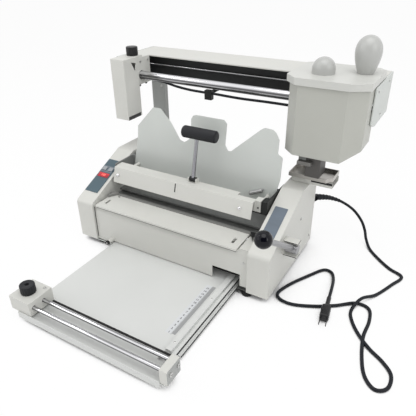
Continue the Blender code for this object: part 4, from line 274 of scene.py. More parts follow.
rubber = finish_shader("foot_rubber", (0.016, 0.016, 0.016), 0.75, grain=0.5, grain_scale=1400, sheen=0.25)
cool_paint = finish_shader("cool_grey_powder_paint", (0.60, 0.625, 0.60), 0.42, grain=0.16, patches=0.02)
warm_paint = finish_shader("warm_grey_powder_paint", (0.63, 0.63, 0.595), 0.42, grain=0.16, patches=0.02)


def edged(node, finish, edge=0.0006, angle=32.0, segments=2):
    """A merged copy of a CAD node, in its place, with its edges broken and its curves shaded smooth."""
    source = frame["nodes"][node]
    mesh = source.data.copy()
    shape = bmesh.new()
    shape.from_mesh(mesh)
    bmesh.ops.remove_doubles(shape, verts=shape.verts, dist=0.00001)
    bmesh.ops.dissolve_limit(shape, angle_limit=math.radians(0.6), verts=shape.verts, edges=shape.edges)
    shape.to_mesh(mesh)
    shape.free()
    mesh.materials.clear()
    mesh.materials.append(finish)
    made = in_scene(node + "_made", mesh)
    mesh.shade_smooth()
    if edge:
        bevel = made.modifiers.new("broken_edges", "BEVEL")
        bevel.width = edge
        bevel.segments = segments
        bevel.limit_method = "ANGLE"
        bevel.angle_limit = math.radians(angle)
        bevel.use_clamp_overlap = True
        bevel.miter_outer = "MITER_ARC"
    mesh.set_sharp_from_angle(angle=math.radians(angle))
    even = made.modifiers.new("even_shading", "WEIGHTED_NORMAL")
    even.keep_sharp = True
    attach(made, source["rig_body"])
    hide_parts(node)
    return made


def refinish(piece, finish, chosen):
    """A further finish for the faces of a piece that the given test chooses."""
    piece.data.materials.append(finish)
    index = len(piece.data.materials) - 1
    for face in piece.data.polygons:
        if chosen(face):
            face.material_index = index


def solid_piece(name, shape, finish, lie=None):
    """A piece of one finish from its finished shape, laid in place where a matrix is given."""
    mesh = bpy.data.meshes.new(name)
    shape.to_mesh(mesh)
    shape.free()
    if lie is not None:
        mesh.transform(lie)
    mesh.materials.append(finish)
    return in_scene(name, mesh)


def small_block(name, body, middle, size, finish, facing=(0, 0, 1)):
    """A small flat piece with broken edges; its thickness, the last size, points the way that it faces."""
    shape = bmesh.new()
    bmesh.ops.create_cube(shape, size=1)
    bmesh.ops.scale(shape, vec=size, verts=shape.verts)
    out = Vector(facing).normalized()
    side = Vector((1, 0, 0)) if abs(out.x) < 0.9 else Vector((0, 1, 0))
    side = (side - out * side.dot(out)).normalized()
    lie = Matrix((side, out.cross(side), out)).transposed().to_4x4()
    made = solid_piece(name, shape, finish, Matrix.Translation(middle) @ lie)
    bevel = made.modifiers.new("broken_edges", "BEVEL")
    bevel.width, bevel.segments = min(0.0002, size[2] * 0.3), 2
    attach(made, body)
    return made


# The base frame's near-black paint is painted shade for the inside seen through the panel's notch.
base_shade_paint = finish_shader("base_painted_shade", (0.075, 0.077, 0.075), 0.50, grain=0.16, patches=0.05)
base = edged("base_frame", base_shade_paint, 0.0005)
front_edge_y, base_middle_x = spot(0, 0.0045).y, spot(0, 0).x
refinish(base, rubber, lambda face: face.center.y < front_edge_y and face.center.x > base_middle_x)
refinish(base, cool_paint, lambda face: face.center.y < front_edge_y and face.center.x <= base_middle_x)
for foot in ("foot_front_left", "foot_front_right", "foot_rear_left", "foot_rear_right"):
    edged(foot, rubber, 0.0008, segments=3)


def turned_piece(
    name, profile, middle, direction, finish, node, sides=64, flutes=0, depth=0.0, band=None
):
    """A turned or moulded round piece from its (radius, height) profile, in place of a node where given."""
    shape = bmesh.new()
    rings = []
    for reach, height in profile:
        if reach <= 0:
            rings.append([shape.verts.new((0, 0, height))])
            continue
        ring = []
        for k in range(sides):
            angle = 2 * math.pi * k / sides
            cut = 0.0
            if flutes and (band is None or band[0] <= height <= band[1]):
                cut = depth * (1 - math.cos(flutes * angle)) / 2
            here = reach - cut
            ring.append(shape.verts.new((here * math.cos(angle), here * math.sin(angle), height)))
        rings.append(ring)
    for first, second in zip(rings, rings[1:]):
        for k in range(sides):
            a, b = first[k % len(first)], first[(k + 1) % len(first)]
            c, d = second[(k + 1) % len(second)], second[k % len(second)]
            corners = [v for i, v in enumerate((a, b, c, d)) if v not in (a, b, c, d)[:i]]
            shape.faces.new(corners)
    bmesh.ops.recalc_face_normals(shape, faces=shape.faces)
    lie = Vector(direction).to_track_quat("Z", "Y").to_matrix().to_4x4()
    made = solid_piece(name, shape, finish, Matrix.Translation(middle) @ lie)
    made.data.shade_smooth()
    made.data.set_sharp_from_angle(angle=math.radians(50))
    if node:
        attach(made, frame["nodes"][node]["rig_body"])
        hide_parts(node)
    return made


pad = [(0, 0.0044), (0.0112, 0.0044), (0.0119, 0.0037), (0.0119, -0.0037), (0.0112, -0.0044), (0, -0.0044)]
pad_middle = spot(0.199, 0.0128, 0.0048)
front_pad = turned_piece("front_right_foot_pad", pad, pad_middle, (0, 0, 1), rubber, None, 48)
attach(front_pad, "frame")

# Fasteners
# Cross-head and socket screws are plated steel, one turned head with its recess, driven in wherever two
# folded sheets meet. Each set is scattered on its own points and turned to face out of its sheet.

plated = finish_shader("zinc_plated_steel", (0.62, 0.62, 0.61), 0.28, metallic=1.0, grain=0.1, patches=0.08)
black_screw = finish_shader("blackened_screw", (0.03, 0.03, 0.032), 0.38, metallic=0.6, grain=0.1)


def screw_head(name, height, kind, finish):
    """One head of radius 1 at the origin, facing +Z: domed with a cross, a socket cap, or plain domed."""
    shape = bmesh.new()
    sides = 24
    if kind == "socket":
        shares = ((1, 0), (1, 0.85), (0.9, 1), (0.52, 1), (0.48, 0.35))
    else:
        shares = ((1, 0), (0.97, 0.35), (0.8, 0.72), (0.5, 0.95), (0.22, 1))
    sixth, half_sixth = math.pi / 3, math.pi / 6
    loops = []
    for index, (reach, rise) in enumerate(shares):
        loop = []
        for k in range(sides):
            angle = 2 * math.pi * k / sides
            here = reach
            if kind == "socket" and index >= 3:
                here *= math.cos(half_sixth) / math.cos(angle % sixth - half_sixth)
            loop.append(shape.verts.new((here * math.cos(angle), here * math.sin(angle), height * rise)))
        loops.append(loop)
    for first, second in zip(loops, loops[1:]):
        for k in range(sides):
            shape.faces.new((first[k], first[(k + 1) % sides], second[(k + 1) % sides], second[k]))
    shape.faces.new(loops[-1])
    shape.faces.new(list(reversed(loops[0])))
    if kind == "cross":
        for turn_angle in (0, math.pi / 2):
            arm = bmesh.ops.create_cube(shape, size=1)["verts"]
            bmesh.ops.scale(shape, vec=(1.05, 0.2, height * 0.1), verts=arm)
            bmesh.ops.rotate(shape, matrix=Matrix.Rotation(turn_angle, 3, "Z"), verts=arm)
            bmesh.ops.translate(shape, vec=(0, 0, height * 0.98), verts=arm)
    return solid_piece(name, shape, finish)


def plain_mesh(holder):
    """The evaluated mesh of a scatter, a curve or a text, whose holder is then removed."""
    bpy.context.view_layer.update()
    graph = bpy.context.evaluated_depsgraph_get()
    mesh = bpy.data.meshes.new_from_object(holder.evaluated_get(graph))
    bpy.data.objects.remove(holder)
    return mesh


def screws(name, body, places, radius, height, kind="cross", finish=plated):
    """Screw heads at the given places, each a point and the way out of its sheet, as one plain mesh."""
    head = screw_head(name + "_head", height / radius, kind, finish)
    mesh = bpy.data.meshes.new(name + "_points")
    mesh.from_pydata([tuple(place) for place, facing in places], [], [])
    facing_data = mesh.attributes.new("facing", "FLOAT_VECTOR", "POINT")
    for index, (place, facing) in enumerate(places):
        facing_data.data[index].vector = Vector(facing).normalized()
    points = in_scene(name + "_points", mesh)
    tree = bpy.data.node_groups.new(name + "_tree", "GeometryNodeTree")
    tree.interface.new_socket("Geometry", in_out="INPUT", socket_type="NodeSocketGeometry")
    head_radius = tree.interface.new_socket("Head radius", in_out="INPUT", socket_type="NodeSocketFloat")
    tree.interface.new_socket("Geometry", in_out="OUTPUT", socket_type="NodeSocketGeometry")
    group_in, group_out = tree.nodes.new("NodeGroupInput"), tree.nodes.new("NodeGroupOutput")
    source = tree.nodes.new("GeometryNodeObjectInfo")
    set_sockets(source, {"Object": head})
    named = tree.nodes.new("GeometryNodeInputNamedAttribute")
    named.data_type = "FLOAT_VECTOR"
    set_sockets(named, {"Name": "facing"})
    align = tree.nodes.new("FunctionNodeAlignRotationToVector")
    align.axis = "Z"
    place_heads = tree.nodes.new("GeometryNodeInstanceOnPoints")
    real = tree.nodes.new("GeometryNodeRealizeInstances")
    coat = tree.nodes.new("GeometryNodeSetMaterial")
    set_sockets(coat, {"Material": finish})
    tree.links.new(group_in.outputs["Geometry"], place_heads.inputs["Points"])
    tree.links.new(source.outputs["Geometry"], place_heads.inputs["Instance"])
    tree.links.new(named.outputs["Attribute"], align.inputs["Vector"])
    tree.links.new(align.outputs["Rotation"], place_heads.inputs["Rotation"])
    tree.links.new(group_in.outputs["Head radius"], place_heads.inputs["Scale"])
    tree.links.new(place_heads.outputs["Instances"], real.inputs["Geometry"])
    tree.links.new(real.outputs["Geometry"], coat.inputs["Geometry"])
    tree.links.new(coat.outputs["Geometry"], group_out.inputs["Geometry"])
    scatter = points.modifiers.new("scatter", "NODES")
    scatter.node_group = tree
    scatter[head_radius.identifier] = radius
    made_mesh = plain_mesh(points)
    bpy.data.objects.remove(head)
    made = in_scene(name, made_mesh)
    made_mesh.shade_smooth()
    made_mesh.set_sharp_from_angle(angle=math.radians(35))
    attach(made, body)
    return made


# Side housings
# Each housing is one folded 2 mm steel sheet, powder painted, open below. The right one carries the nip
# lever; its slope has a plain blue-grey film plate, and hexagon screws hold the works inside.

for housing in ("housing_left", "housing_right"):
    edged(housing, warm_paint, 0.0009, segments=3)

slope_foot_z, slope = 0.110, 0.075 / 0.165
slope_normal, up_slope = Vector((0, -slope, 1)).normalized(), Vector((0, 1, slope)).normalized()
slope_lie = Matrix(((1, 0, 0), tuple(up_slope), tuple(slope_normal))).transposed().to_4x4()


def on_slope(x, y, lift):
    """A place at a height above the housings' slope."""
    return spot(x, y, slope_foot_z + slope * y) + slope_normal * lift


def strip_on_slope(name, left_x, right_x, low_y, high_y, low, thick, corner, finish):
    """A thin plate with round corners, lying on the housings' slope."""
    length, width = (high_y - low_y) * math.hypot(1, slope), right_x - left_x
    far_x, far_y = width - corner, length - corner
    shape = bmesh.new()
    loop = []
    corners = ((far_x, corner, -90), (far_x, far_y, 0), (corner, far_y, 90), (corner, corner, 180))
    for x, y, start in corners:
        for step in range(7):
            angle = math.radians(start + 15 * step)
            loop.append((x + corner * math.cos(angle), y + corner * math.sin(angle)))
    verts = [[shape.verts.new((u, v, z)) for u, v in loop] for z in (0, thick)]
    shape.faces.new(verts[1])
    shape.faces.new(list(reversed(verts[0])))
    count = len(loop)
    for k in range(count):
        shape.faces.new((verts[0][k], verts[0][(k + 1) % count], verts[1][(k + 1) % count], verts[1][k]))
    made = solid_piece(name, shape, finish, Matrix.Translation(on_slope(left_x, low_y, low)) @ slope_lie)
    bevel = made.modifiers.new("broken_edges", "BEVEL")
    bevel.width, bevel.segments, bevel.limit_method = min(thick * 0.3, 0.0003), 2, "ANGLE"
    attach(made, "frame")
    return made


blue_film = finish_shader(
    "blue_grey_film", (0.112, 0.142, 0.178), 0.40, grain=0.5, grain_scale=500, streak=(0.2, 1, 1),
    patches=0.10,
)
strip_on_slope(
    "right_film_plate", 0.2095, 0.2375, 0.030, 0.1150, 0.0002, 0.0005, 0.0015, blue_film
)
side_heights = ((0.1659, 0.1162), (0.2382, 0.0336), (0.030, 0.022))
right_places = [(spot(0.2501, y, z), (1, 0, 0)) for y, z in side_heights]
screws("right_housing_screws", "frame", right_places, 0.0034, 0.0012, "socket")
rear_across, rear_heights = (-0.238, -0.214, 0.214, 0.238), (0.030, 0.168)
rear_places = [(spot(x, 0.2552, z), (0, 1, 0)) for x in rear_across for z in rear_heights]
screws("rear_housing_screws", "frame", rear_places, 0.0034, 0.0018)
left_places = [(spot(-0.2502, y, z), (-1, 0, 0)) for y, z in side_heights]
screws("left_housing_screws", "frame", left_places, 0.0034, 0.0012, "socket")

# Front panel
# The folded front panel hangs between the housings on two hidden flanges. It is cut away at the right for
# the creasing table's rails, and a rubber bumper on a stud stops the table.

edged("front_panel", warm_paint, 0.0006)
small_block(
    "panel_foot_strip", "frame", spot(-0.1785, 0.0062, 0.0163), (0.0460, 0.0062, 0.0016),
    warm_paint, (0, -1, 0),
)
# A thin dark strip at the left seam of the panel is painted shade of the gap.
small_block(
    "panel_left_seam", "frame", spot(-0.2009, 0.0057, 0.0605), (0.0016, 0.0810, 0.0006), rubber,
    (0, -1, 0),
)
# A dark sheet inside the notch, over the table's rails, is painted shade of the inside.
small_block(
    "notch_cross_bar", "frame", spot(0.1380, 0.0520, 0.0262), (0.1040, 0.0500, 0.0012), rubber,
)
pad = [(0, 0), (0.0048, 0), (0.0048, 0.0050), (0.0042, 0.0056), (0, 0.0056)]
pad_middle = spot(-0.155, -0.0107, 0.026)
bumper_pad = turned_piece("bumper_pad", pad, pad_middle, (0, -1, 0), rubber, None, 40)
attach(bumper_pad, "frame")
screws("bumper_screw", "frame", [(spot(-0.155, -0.0163, 0.026), (0, -1, 0))], 0.0018, 0.0005)
screws("panel_screw", "frame", [(spot(0.1915, 0.0058, 0.0800), (0, -1, 0))], 0.0026, 0.0010)

# Spine table and rear nip bar
# The spine of the book stands on a steel strip painted dark grey, its darkness painted shade from the
# clamp's jaw above; the fixed jaw of the nip is a blackened square bar behind it, screwed to the housings
# at both ends.

black_steel = finish_shader(
    "blackened_steel", (0.022, 0.023, 0.023), 0.45, metallic=0.3, grain=0.3, patches=0.15, sheen=0.3
)
shade_grey_paint = finish_shader("painted_shade_grey", (0.20, 0.205, 0.20), 0.45, grain=0.16, patches=0.05)
edged("spine_table", shade_grey_paint, 0.0004)
edged("rear_nip_bar", black_steel, 0.0006)
# A dark grey sheet below the nip is painted shade from the jaw above, like the strip's grey.
small_block(
    "spine_shield", "nip", spot(0, 0.0945, 0.0975), (0.430, 0.0430, 0.0008), shade_grey_paint,
)

# Platform and front nip bar
# A thin folded steel platform, painted as the body, slides to and fro on studs in the housings. Two slots
# give access to the cap screws that set it; a bright steel nip bar with two black guides ends it behind,
# its grey darkened as painted shade under the jaw.

edged("platform", warm_paint, 0.0006)
black_plastic = finish_shader(
    "black_moulded_plastic", (0.012, 0.012, 0.013), 0.36, grain=0.25, grain_scale=1800, patches=0.1,
    sheen=0.35,
)
nip_shade_steel = finish_shader(
    "brushed_nip_steel_painted_shade", (0.23, 0.23, 0.22), 0.60, metallic=0.25, grain=0.15, streak=(1, 30, 30),
    patches=0.06,
)
# The nip bar's grey is partly its brushed steel and partly painted shade from the jaw.
nip_bar = edged("front_nip_bar", nip_shade_steel, 0.0005)
guide_z, guide_x = 0.1095, spot(0.1730, 0).x
refinish(nip_bar, black_plastic, lambda face: face.center.z > guide_z and face.center.x > guide_x)
small_block(
    "guide_pin_mark", "nip", spot(-0.1695, 0.0600, 0.1104), (0.0050, 0.0030, 0.0008), black_plastic,
)
# A thin black strip under the platform's lip is painted shade.
small_block(
    "lip_seam", "frame", spot(-0.0085, 0.0045, 0.1030), (0.3680, 0.0011, 0.0006), black_steel,
    (0, -1, 0.3),
)
slot_places = [(spot(x, 0.031, 0.1068), (0, 0, 1)) for x in (-0.178, 0.158)]
screws("platform_screws", "nip", slot_places, 0.0028, 0.0034, "socket")

# Flip-over clamp
# The back plate is cut from painted sheet; the arms at its ends are black steel with turned pivot pins, and
# the left arm is painted dark grey as painted shade. The jaw slides on two guide pins. Domed chromed screws
# hold its front plate; the catch is a turned steel bar.

post_paint = finish_shader("post_grey_paint", (0.34, 0.35, 0.34), 0.40, grain=0.16, patches=0.05)
edged("back_plate", cool_paint, 0.0004)
# The left arm's dark grey is painted shade of the housing's side next to it.
edged("clamp_arm_left", shade_grey_paint, 0.0005)
edged("clamp_arm_right", black_steel, 0.0005)
catch_steel = finish_shader(
    "catch_satin_steel", (0.42, 0.42, 0.42), 0.45, metallic=0.7, grain=0.2, patches=0.06
)
low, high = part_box("clamp_catch")
catch_droop, stud_length = math.radians(25), high.y - low.y - 0.0040
catch_way = Vector((-math.cos(catch_droop), 0, -math.sin(catch_droop)))
catch_top = Vector((spot(0.163, 0).x, low.y + 0.0035, 0.172))
catch_bar = [(0, 0.0160), (0.0036, 0.0160), (0.0046, 0.0150), (0.0046, 0.0085), (0.0042, 0.0080)]
catch_bar += [(0.0042, -0.0150), (0.0034, -0.0160), (0, -0.0160)]
bar_middle = catch_top + catch_way * 0.0150
turned_piece("catch_bar", catch_bar, bar_middle, catch_way, catch_steel, "clamp_catch", 48)
stud = [(0, 0), (0.0032, 0), (0.0032, stud_length), (0, stud_length)]
stud = turned_piece("catch_stud", stud, catch_top, (0, 1, 0), catch_steel, None, 32)
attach(stud, frame["nodes"]["clamp_catch"]["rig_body"])
edged("jaw_plate", warm_paint, 0.0005)
edged("jaw_bar", warm_paint, 0.0005)
chrome = finish_shader("polished_chrome", (0.80, 0.80, 0.81), 0.12, metallic=1.0, patches=0.03)
banded_reflection_chrome = finish_shader("rod_chrome_painted_reflection", (0.80, 0.80, 0.81), 0.14, metallic=1.0, patches=0.02)
# The rod chrome is banded light and dark by how far each face turns up or down: painted reflection.
nodes, links = banded_reflection_chrome.node_tree.nodes, banded_reflection_chrome.node_tree.links
shader = nodes["Principled BSDF"]
lie_of_rod, split = nodes.new("ShaderNodeTexCoord"), nodes.new("ShaderNodeSeparateXYZ")
bands = nodes.new("ShaderNodeValToRGB")
links.new(lie_of_rod.outputs["Normal"], split.inputs[0])
rise_share = nodes.new("ShaderNodeMapRange")
set_sockets(rise_share, {"From Min": -1.0, "From Max": 1.0})
links.new(split.outputs["Z"], rise_share.inputs["Value"])
links.new(rise_share.outputs[0], bands.inputs[0])
painted_reflection_greys = (
    (0.16, 0.07), (0.34, 0.10), (0.40, 0.42), (0.46, 0.42),
    (0.53, 0.10), (0.66, 0.16), (0.76, 0.80), (0.93, 0.80),
)
for place, grey in painted_reflection_greys:
    stop = bands.color_ramp.elements.new(place)
    stop.color = (grey, grey, grey * 1.03, 1)
bands.color_ramp.elements.remove(bands.color_ramp.elements[0])
bands.color_ramp.elements[-1].color = (0.28, 0.28, 0.29, 1)
links.new(bands.outputs[0], shader.inputs["Base Color"])
jaw_normal = Vector((0, -0.036, 0.010)).normalized()
jaw_places = [(spot(-0.180, 0.0757, 0.1590), jaw_normal), (spot(0.1449, 0.0757, 0.1587), jaw_normal)]
screws("jaw_dome_screws", "jaw", jaw_places, 0.0042, 0.0030, "dome", chrome)
small_block(
    "jaw_tab", "jaw", spot(-0.0125, 0.0775, 0.1650), (0.0050, 0.0210, 0.0008), warm_paint,
    jaw_normal,
)
# A black strip beside the tab is painted shade of a slot.
small_block(
    "jaw_tab_slot", "jaw", spot(-0.0165, 0.0776, 0.1650), (0.0028, 0.0200, 0.0004), black_steel,
    jaw_normal,
)
screws(
    "jaw_end_screw", "jaw", [(spot(0.179, 0.0938, 0.1600), (0, -1, 0))], 0.0020, 0.0008, "socket",
    black_screw,
)

# T-lever of the clamp
# A bright drawn steel shaft is screwed into the lever's hub; the collar at its foot is painted black as
# painted shade of the notch in the jaw that it stands in. A round rubber grip with soft ends is pushed on
# crosswise.

drawn_steel = finish_shader("drawn_steel", (0.34, 0.34, 0.36), 0.26, metallic=1.0, grain=0.1, patches=0.05)
shaft = edged("clamp_lever_shaft", drawn_steel, 0.0004, 40)
# Below this height the shaft is painted black: painted shade of the jaw's notch.
collar_top_z = 0.1890
refinish(shaft, black_steel, lambda face: face.center.z < collar_top_z)


def soft_profile(half, radius, edge, steps=6):
    """Outline of a round bar with rounded ends, from its top to its bottom."""
    points = [(0, half)]
    for step in range(steps + 1):
        angle = math.pi / 2 * step / steps
        points.append((radius - edge + edge * math.sin(angle), half - edge + edge * math.cos(angle)))
    for step in range(steps + 1):
        angle = math.pi / 2 * step / steps
        points.append((radius - edge + edge * math.cos(angle), edge - half - edge * math.sin(angle)))
    points.append((0, -half))
    return points


grip_rubber = finish_shader(
    "grip_rubber", (0.014, 0.015, 0.018), 0.55, grain=0.5, grain_scale=1500, patches=0.1, sheen=0.3
)
low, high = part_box("clamp_lever_grip")
middle = (low + high) / 2
grip = soft_profile((high.x - low.x) / 2, (high.z - low.z) / 2, 0.0045)
turned_piece("lever_grip", grip, middle, (1, 0, 0), grip_rubber, "clamp_lever_grip", 96)

# Gantry
# Two folded channel posts carry the box-section beam. Its painted cover and the two folded end caps close
# it. The guide rod is ground and hard chromed, its light and dark bands painted reflection; the thin rod
# behind it works the heads' switches.

for post in ("post_left", "post_right"):
    edged(post, post_paint, 0.0005)
edged("beam", black_steel, 0.0006)
edged("beam_cover", warm_paint, 0.0006)
left_cap = edged("end_cap_left", cool_paint, 0.0006)
# The left cap's inner side face is painted black as painted shade.
refinish(left_cap, black_steel, lambda face: face.normal.x > 0.9)
edged("end_cap_right", cool_paint, 0.0006)


def round_bar(node, finish, edge=0.0005, sides=64):
    """A turned bar along x with rounded ends, as long and as thick as its node."""
    low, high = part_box(node)
    profile = soft_profile((high.x - low.x) / 2, (high.z - low.z) / 2, edge, 3)
    turned_piece(node + "_bar", profile, (low + high) / 2, (1, 0, 0), finish, node, sides)


round_bar("guide_rod", banded_reflection_chrome)
round_bar("rear_rod", banded_reflection_chrome, sides=32)
cap_heights = ((0.3053, 0.3276), (0.252, 0.386), (0.350, 0.386))
cap_places = [(spot(0.3502, y, z), (1, 0, 0)) for y, z in cap_heights]
screws("right_cap_screws", "frame", cap_places, 0.0030, 0.0012, "socket")
cap_heights = ((0.252, 0.386), (0.350, 0.386), (0.350, 0.325), (0.285, 0.325))
cap_places = [(spot(-0.2802, y, z), (-1, 0, 0)) for y, z in cap_heights]
screws("left_cap_screws", "frame", cap_places, 0.0030, 0.0016)
cover_places = [(spot(x, 0.3822, 0.368), (0, 1, 0)) for x in (-0.255, -0.09, 0.09, 0.325)]
screws("cover_rear_screws", "frame", cover_places, 0.0030, 0.0016)
post_places = [(spot(x, 0.2968, z), (0, -1, 0)) for x in (-0.1961, 0.1961) for z in (0.248, 0.320)]
screws("post_bolts", "frame", post_places, 0.0032, 0.0024, "socket")

# Milling head
# A tall folded steel box on a bearing block that runs on the guide rod. Its fluted knob sets the cutter's
# depth; the toothed cutter disc turns under the open bottom.

edged("milling_head", warm_paint, 0.0007)
edged("milling_cutter", plated, 0.0004)


def fluted_knob(node, name, finish, radius, hole=0.0):
    """A moulded knob with finger grooves round its rim and, where a hole is given, a socket in its top."""
    flutes, depth, edge = 18, 0.0007, 0.0016
    low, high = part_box(node)
    middle = (low + high) / 2
    top, bottom = high.z - middle.z, low.z - middle.z
    profile = []
    if hole:
        profile += [(0, top - 0.004), (hole, top - 0.004), (hole, top - 0.0005), (hole + 0.0005, top)]
    else:
        profile += [(0, top)]
    for step in range(6):
        angle = math.pi / 2 * step / 5
        profile.append((radius - edge + edge * math.sin(angle), top - edge + edge * math.cos(angle)))
    profile += [(radius, bottom + 0.0008), (radius - 0.0008, bottom), (0, bottom)]
    band, sides = (bottom + 0.0004, top - edge * 0.6), flutes * 8
    turned_piece(
        name, profile, middle, (0, 0, 1), finish, node, sides, flutes, depth, band
    )


fluted_knob("head_knob", "depth_knob", black_plastic, 0.0140)
side_heights = ((0.236, 0.3905), (0.266, 0.3905), (0.266, 0.3505))
head_side = [(spot(-0.2128, y, z), (1, 0, 0)) for y, z in side_heights]
small_block(
    "head_foot_strip", "head", spot(-0.2107, 0.1968, 0.2645), (0.0470, 0.0088, 0.0010),
    black_plastic, (1, 0, 0),
)
screws("bracket_screws", "head", head_side, 0.0026, 0.0016, "socket")
bracket_under = [(spot(x, y, 0.3362), (0, 0, -1)) for x, y in ((-0.2125, 0.2275), (-0.2160, 0.2575))]
screws("bracket_bolts", "head", bracket_under, 0.0036, 0.0040, "dome", black_screw)

# Glue pot
# The pot is a chamfered sheet case with an octagonal lid hinged behind; the cast aluminium tank with its
# shoe, roller and gate hangs inside. The dome and the egg-shaped push handle are moulded plastic.

pot_paint = finish_shader("pot_grey_paint", (0.47, 0.475, 0.435), 0.40, grain=0.16, patches=0.02)
edged("pot_case", pot_paint, 0.0012, segments=3)
lid_paint = finish_shader("lid_grey_paint", (0.60, 0.605, 0.575), 0.40, grain=0.16, patches=0.02)
edged("pot_lid", lid_paint, 0.0008)
cast = finish_shader(
    "cast_aluminium", (0.115, 0.110, 0.105), 0.50, metallic=0.5, grain=0.6, grain_scale=1100, patches=0.1
)
edged("pot_tank", cast, 0.0006)
gate_steel = finish_shader(
    "stained_gate_steel", (0.20, 0.195, 0.185), 0.50, metallic=0.5, grain=0.3, patches=0.15
)
edged("glue_gate", gate_steel, 0.0004)
round_bar("glue_roller", plated, edge=0.0006)
handle_plastic = finish_shader(
    "handle_grey_plastic", (0.47, 0.475, 0.46), 0.30, grain=0.06, patches=0.03, coat=0.15
)
low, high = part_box("push_handle")
foot = Vector(((low.x + high.x) / 2, (low.y + high.y) / 2, low.z))
radius, height = (high.x - low.x) / 2, high.z - low.z
egg_shares = [
    (0.0, 1.0), (0.28, 0.985), (0.52, 0.94), (0.74, 0.865), (0.90, 0.765), (0.985, 0.65),
    (1.0, 0.55), (0.97, 0.43), (0.90, 0.31), (0.80, 0.18), (0.68, 0.06), (0.63, 0.0),
]


def smooth_points(ends, per_span):
    """Points on a smooth curve through the given points, from the second up to the last but one."""
    fine = []
    for a, b, c, d in zip(ends, ends[1:], ends[2:], ends[3:]):
        for step in range(per_span):
            t = step / per_span
            bend, twist = a * 2 - b * 5 + c * 4 - d, b * 3 - a - c * 3 + d
            fine.append((b * 2 + (c - a) * t + bend * t**2 + twist * t**3) / 2)
    return fine


shares = [Vector(share) for share in egg_shares]
ends = [Vector((-shares[1].x, shares[1].y)), *shares, shares[-1] * 2 - shares[-2]]
egg = [*smooth_points(ends, 5), shares[-1]]
egg = [(max(0.0, min(share.x, 1.0)) * radius, min(share.y, 1.0) * height) for share in egg]
turned_piece(
    "egg_handle", [*egg, (0, 0)], foot, (0, 0, 1), handle_plastic, "push_handle", 72
)
dome_foot, dome_radius, dome_steps = spot(0.245, 0.226, 0.4148), 0.0226, 16
dome = [(0, 0.0312)]
for step in range(1, dome_steps + 1):
    angle = math.pi / 2 * step / dome_steps
    dome.append((dome_radius * math.sin(angle), 0.0086 + dome_radius * math.cos(angle)))
dome += [(dome_radius, 0.0006), (dome_radius, -0.001), (0, -0.001)]
lid_dome = turned_piece("lid_dome", dome, dome_foot, (0, 0, 1), handle_plastic, None, 72)
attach(lid_dome, "lid")

# Drip tray
# A shallow pressed tray of bare aluminium catches the drips of glue under the parked pot; it slides on a
# folded stand, painted as the body, with a black strip along the tray's edge.

tray_metal = finish_shader(
    "tray_aluminium", (0.56, 0.54, 0.51), 0.34, metallic=0.9, grain=0.25, patches=0.18
)
edged("drip_tray", tray_metal, 0.0004)
edged("tray_stand", warm_paint, 0.0004)
small_block(
    "tray_edge_strip", "frame", spot(0.2755, 0.2005, 0.1945), (0.0460, 0.0050, 0.0008), black_steel,
    (0, -1, 0),
)

# Control panel
# A printed teal film covers the left slope. It has a red display window behind clear plastic, and a grey
# field with two rubber keys under the film.

teal = finish_shader("teal_film", (0.062, 0.105, 0.130), 0.42, grain=0.2, grain_scale=2600, patches=0.06)
edged("control_panel", teal, 0.0003)
window_red = finish_shader("display_window_red", (0.62, 0.035, 0.050), 0.20, patches=0.05)
panel_low_y, panel_depth = 0.030, 0.096
low_y, high_y = panel_low_y + panel_depth * 0.445, panel_low_y + panel_depth * 0.575
strip_on_slope(
    "display_window", -0.2445, -0.2130, low_y + 0.0004, high_y - 0.0004, 0.0023, 0.0002, 0.0006,
    window_red,
)
digit_red = bpy.data.materials.new("lit_digit")
digit_red.use_nodes = True
shader = digit_red.node_tree.nodes["Principled BSDF"]
red_light = {"Emission Color": (1.0, 0.16, 0.12, 1), "Emission Strength": 0.6}
set_sockets(shader, {"Base Color": (0.9, 0.12, 0.10, 1), "Roughness": 0.3, **red_light})


def numbers(name, entries, size, body, finish, lie=Matrix.Identity(4)):
    """Plain numbers printed as thin solid text, joined into one piece."""
    shape = bmesh.new()
    for text, place in entries:
        curve = bpy.data.curves.new(name, "FONT")
        curve.body, curve.size, curve.extrude, curve.offset = text, size, 0.00004, size * 0.035
        curve.align_x, curve.align_y = "CENTER", "CENTER"
        curve.resolution_u = 3
        mesh = plain_mesh(in_scene(name, curve))
        mesh.transform(Matrix.Translation(place) @ lie)
        shape.from_mesh(mesh)
    bmesh.ops.remove_doubles(shape, verts=shape.verts, dist=0.000001)
    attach(solid_piece(name, shape, finish), body)


display = [("180", on_slope(-0.2287, (low_y + high_y) / 2, 0.00255))]
numbers("display_figures", display, 0.0085, "frame", digit_red, slope_lie)
field_grey = finish_shader(
    "key_field_grey", (0.16, 0.19, 0.22), 0.45, grain=0.2, grain_scale=2600, patches=0.06
)
strip_on_slope(
    "key_field", -0.2455, -0.2125, 0.0880, 0.1060, 0.0015, 0.0001, 0.0015, field_grey
)
key_plastic = finish_shader(
    "key_grey_plastic", (0.34, 0.36, 0.38), 0.40, grain=0.2, grain_scale=1500, patches=0.06
)
edged("key_1", key_plastic, 0.0003)
edged("key_2", key_plastic, 0.0003)

# Nip lever
# A ground steel rod in a turned hub, held in a folded steel fork bolted to the right housing, with a glossy
# black ball screwed on its end.

satin_steel = finish_shader("satin_steel", (0.36, 0.36, 0.37), 0.38, metallic=0.85, grain=0.2, patches=0.06)
edged("side_lever_hub", satin_steel, 0.0006, 40)
edged("side_lever_rod", satin_steel, 0.0004, 40)
edged("side_lever_fork", warm_paint, 0.0004)
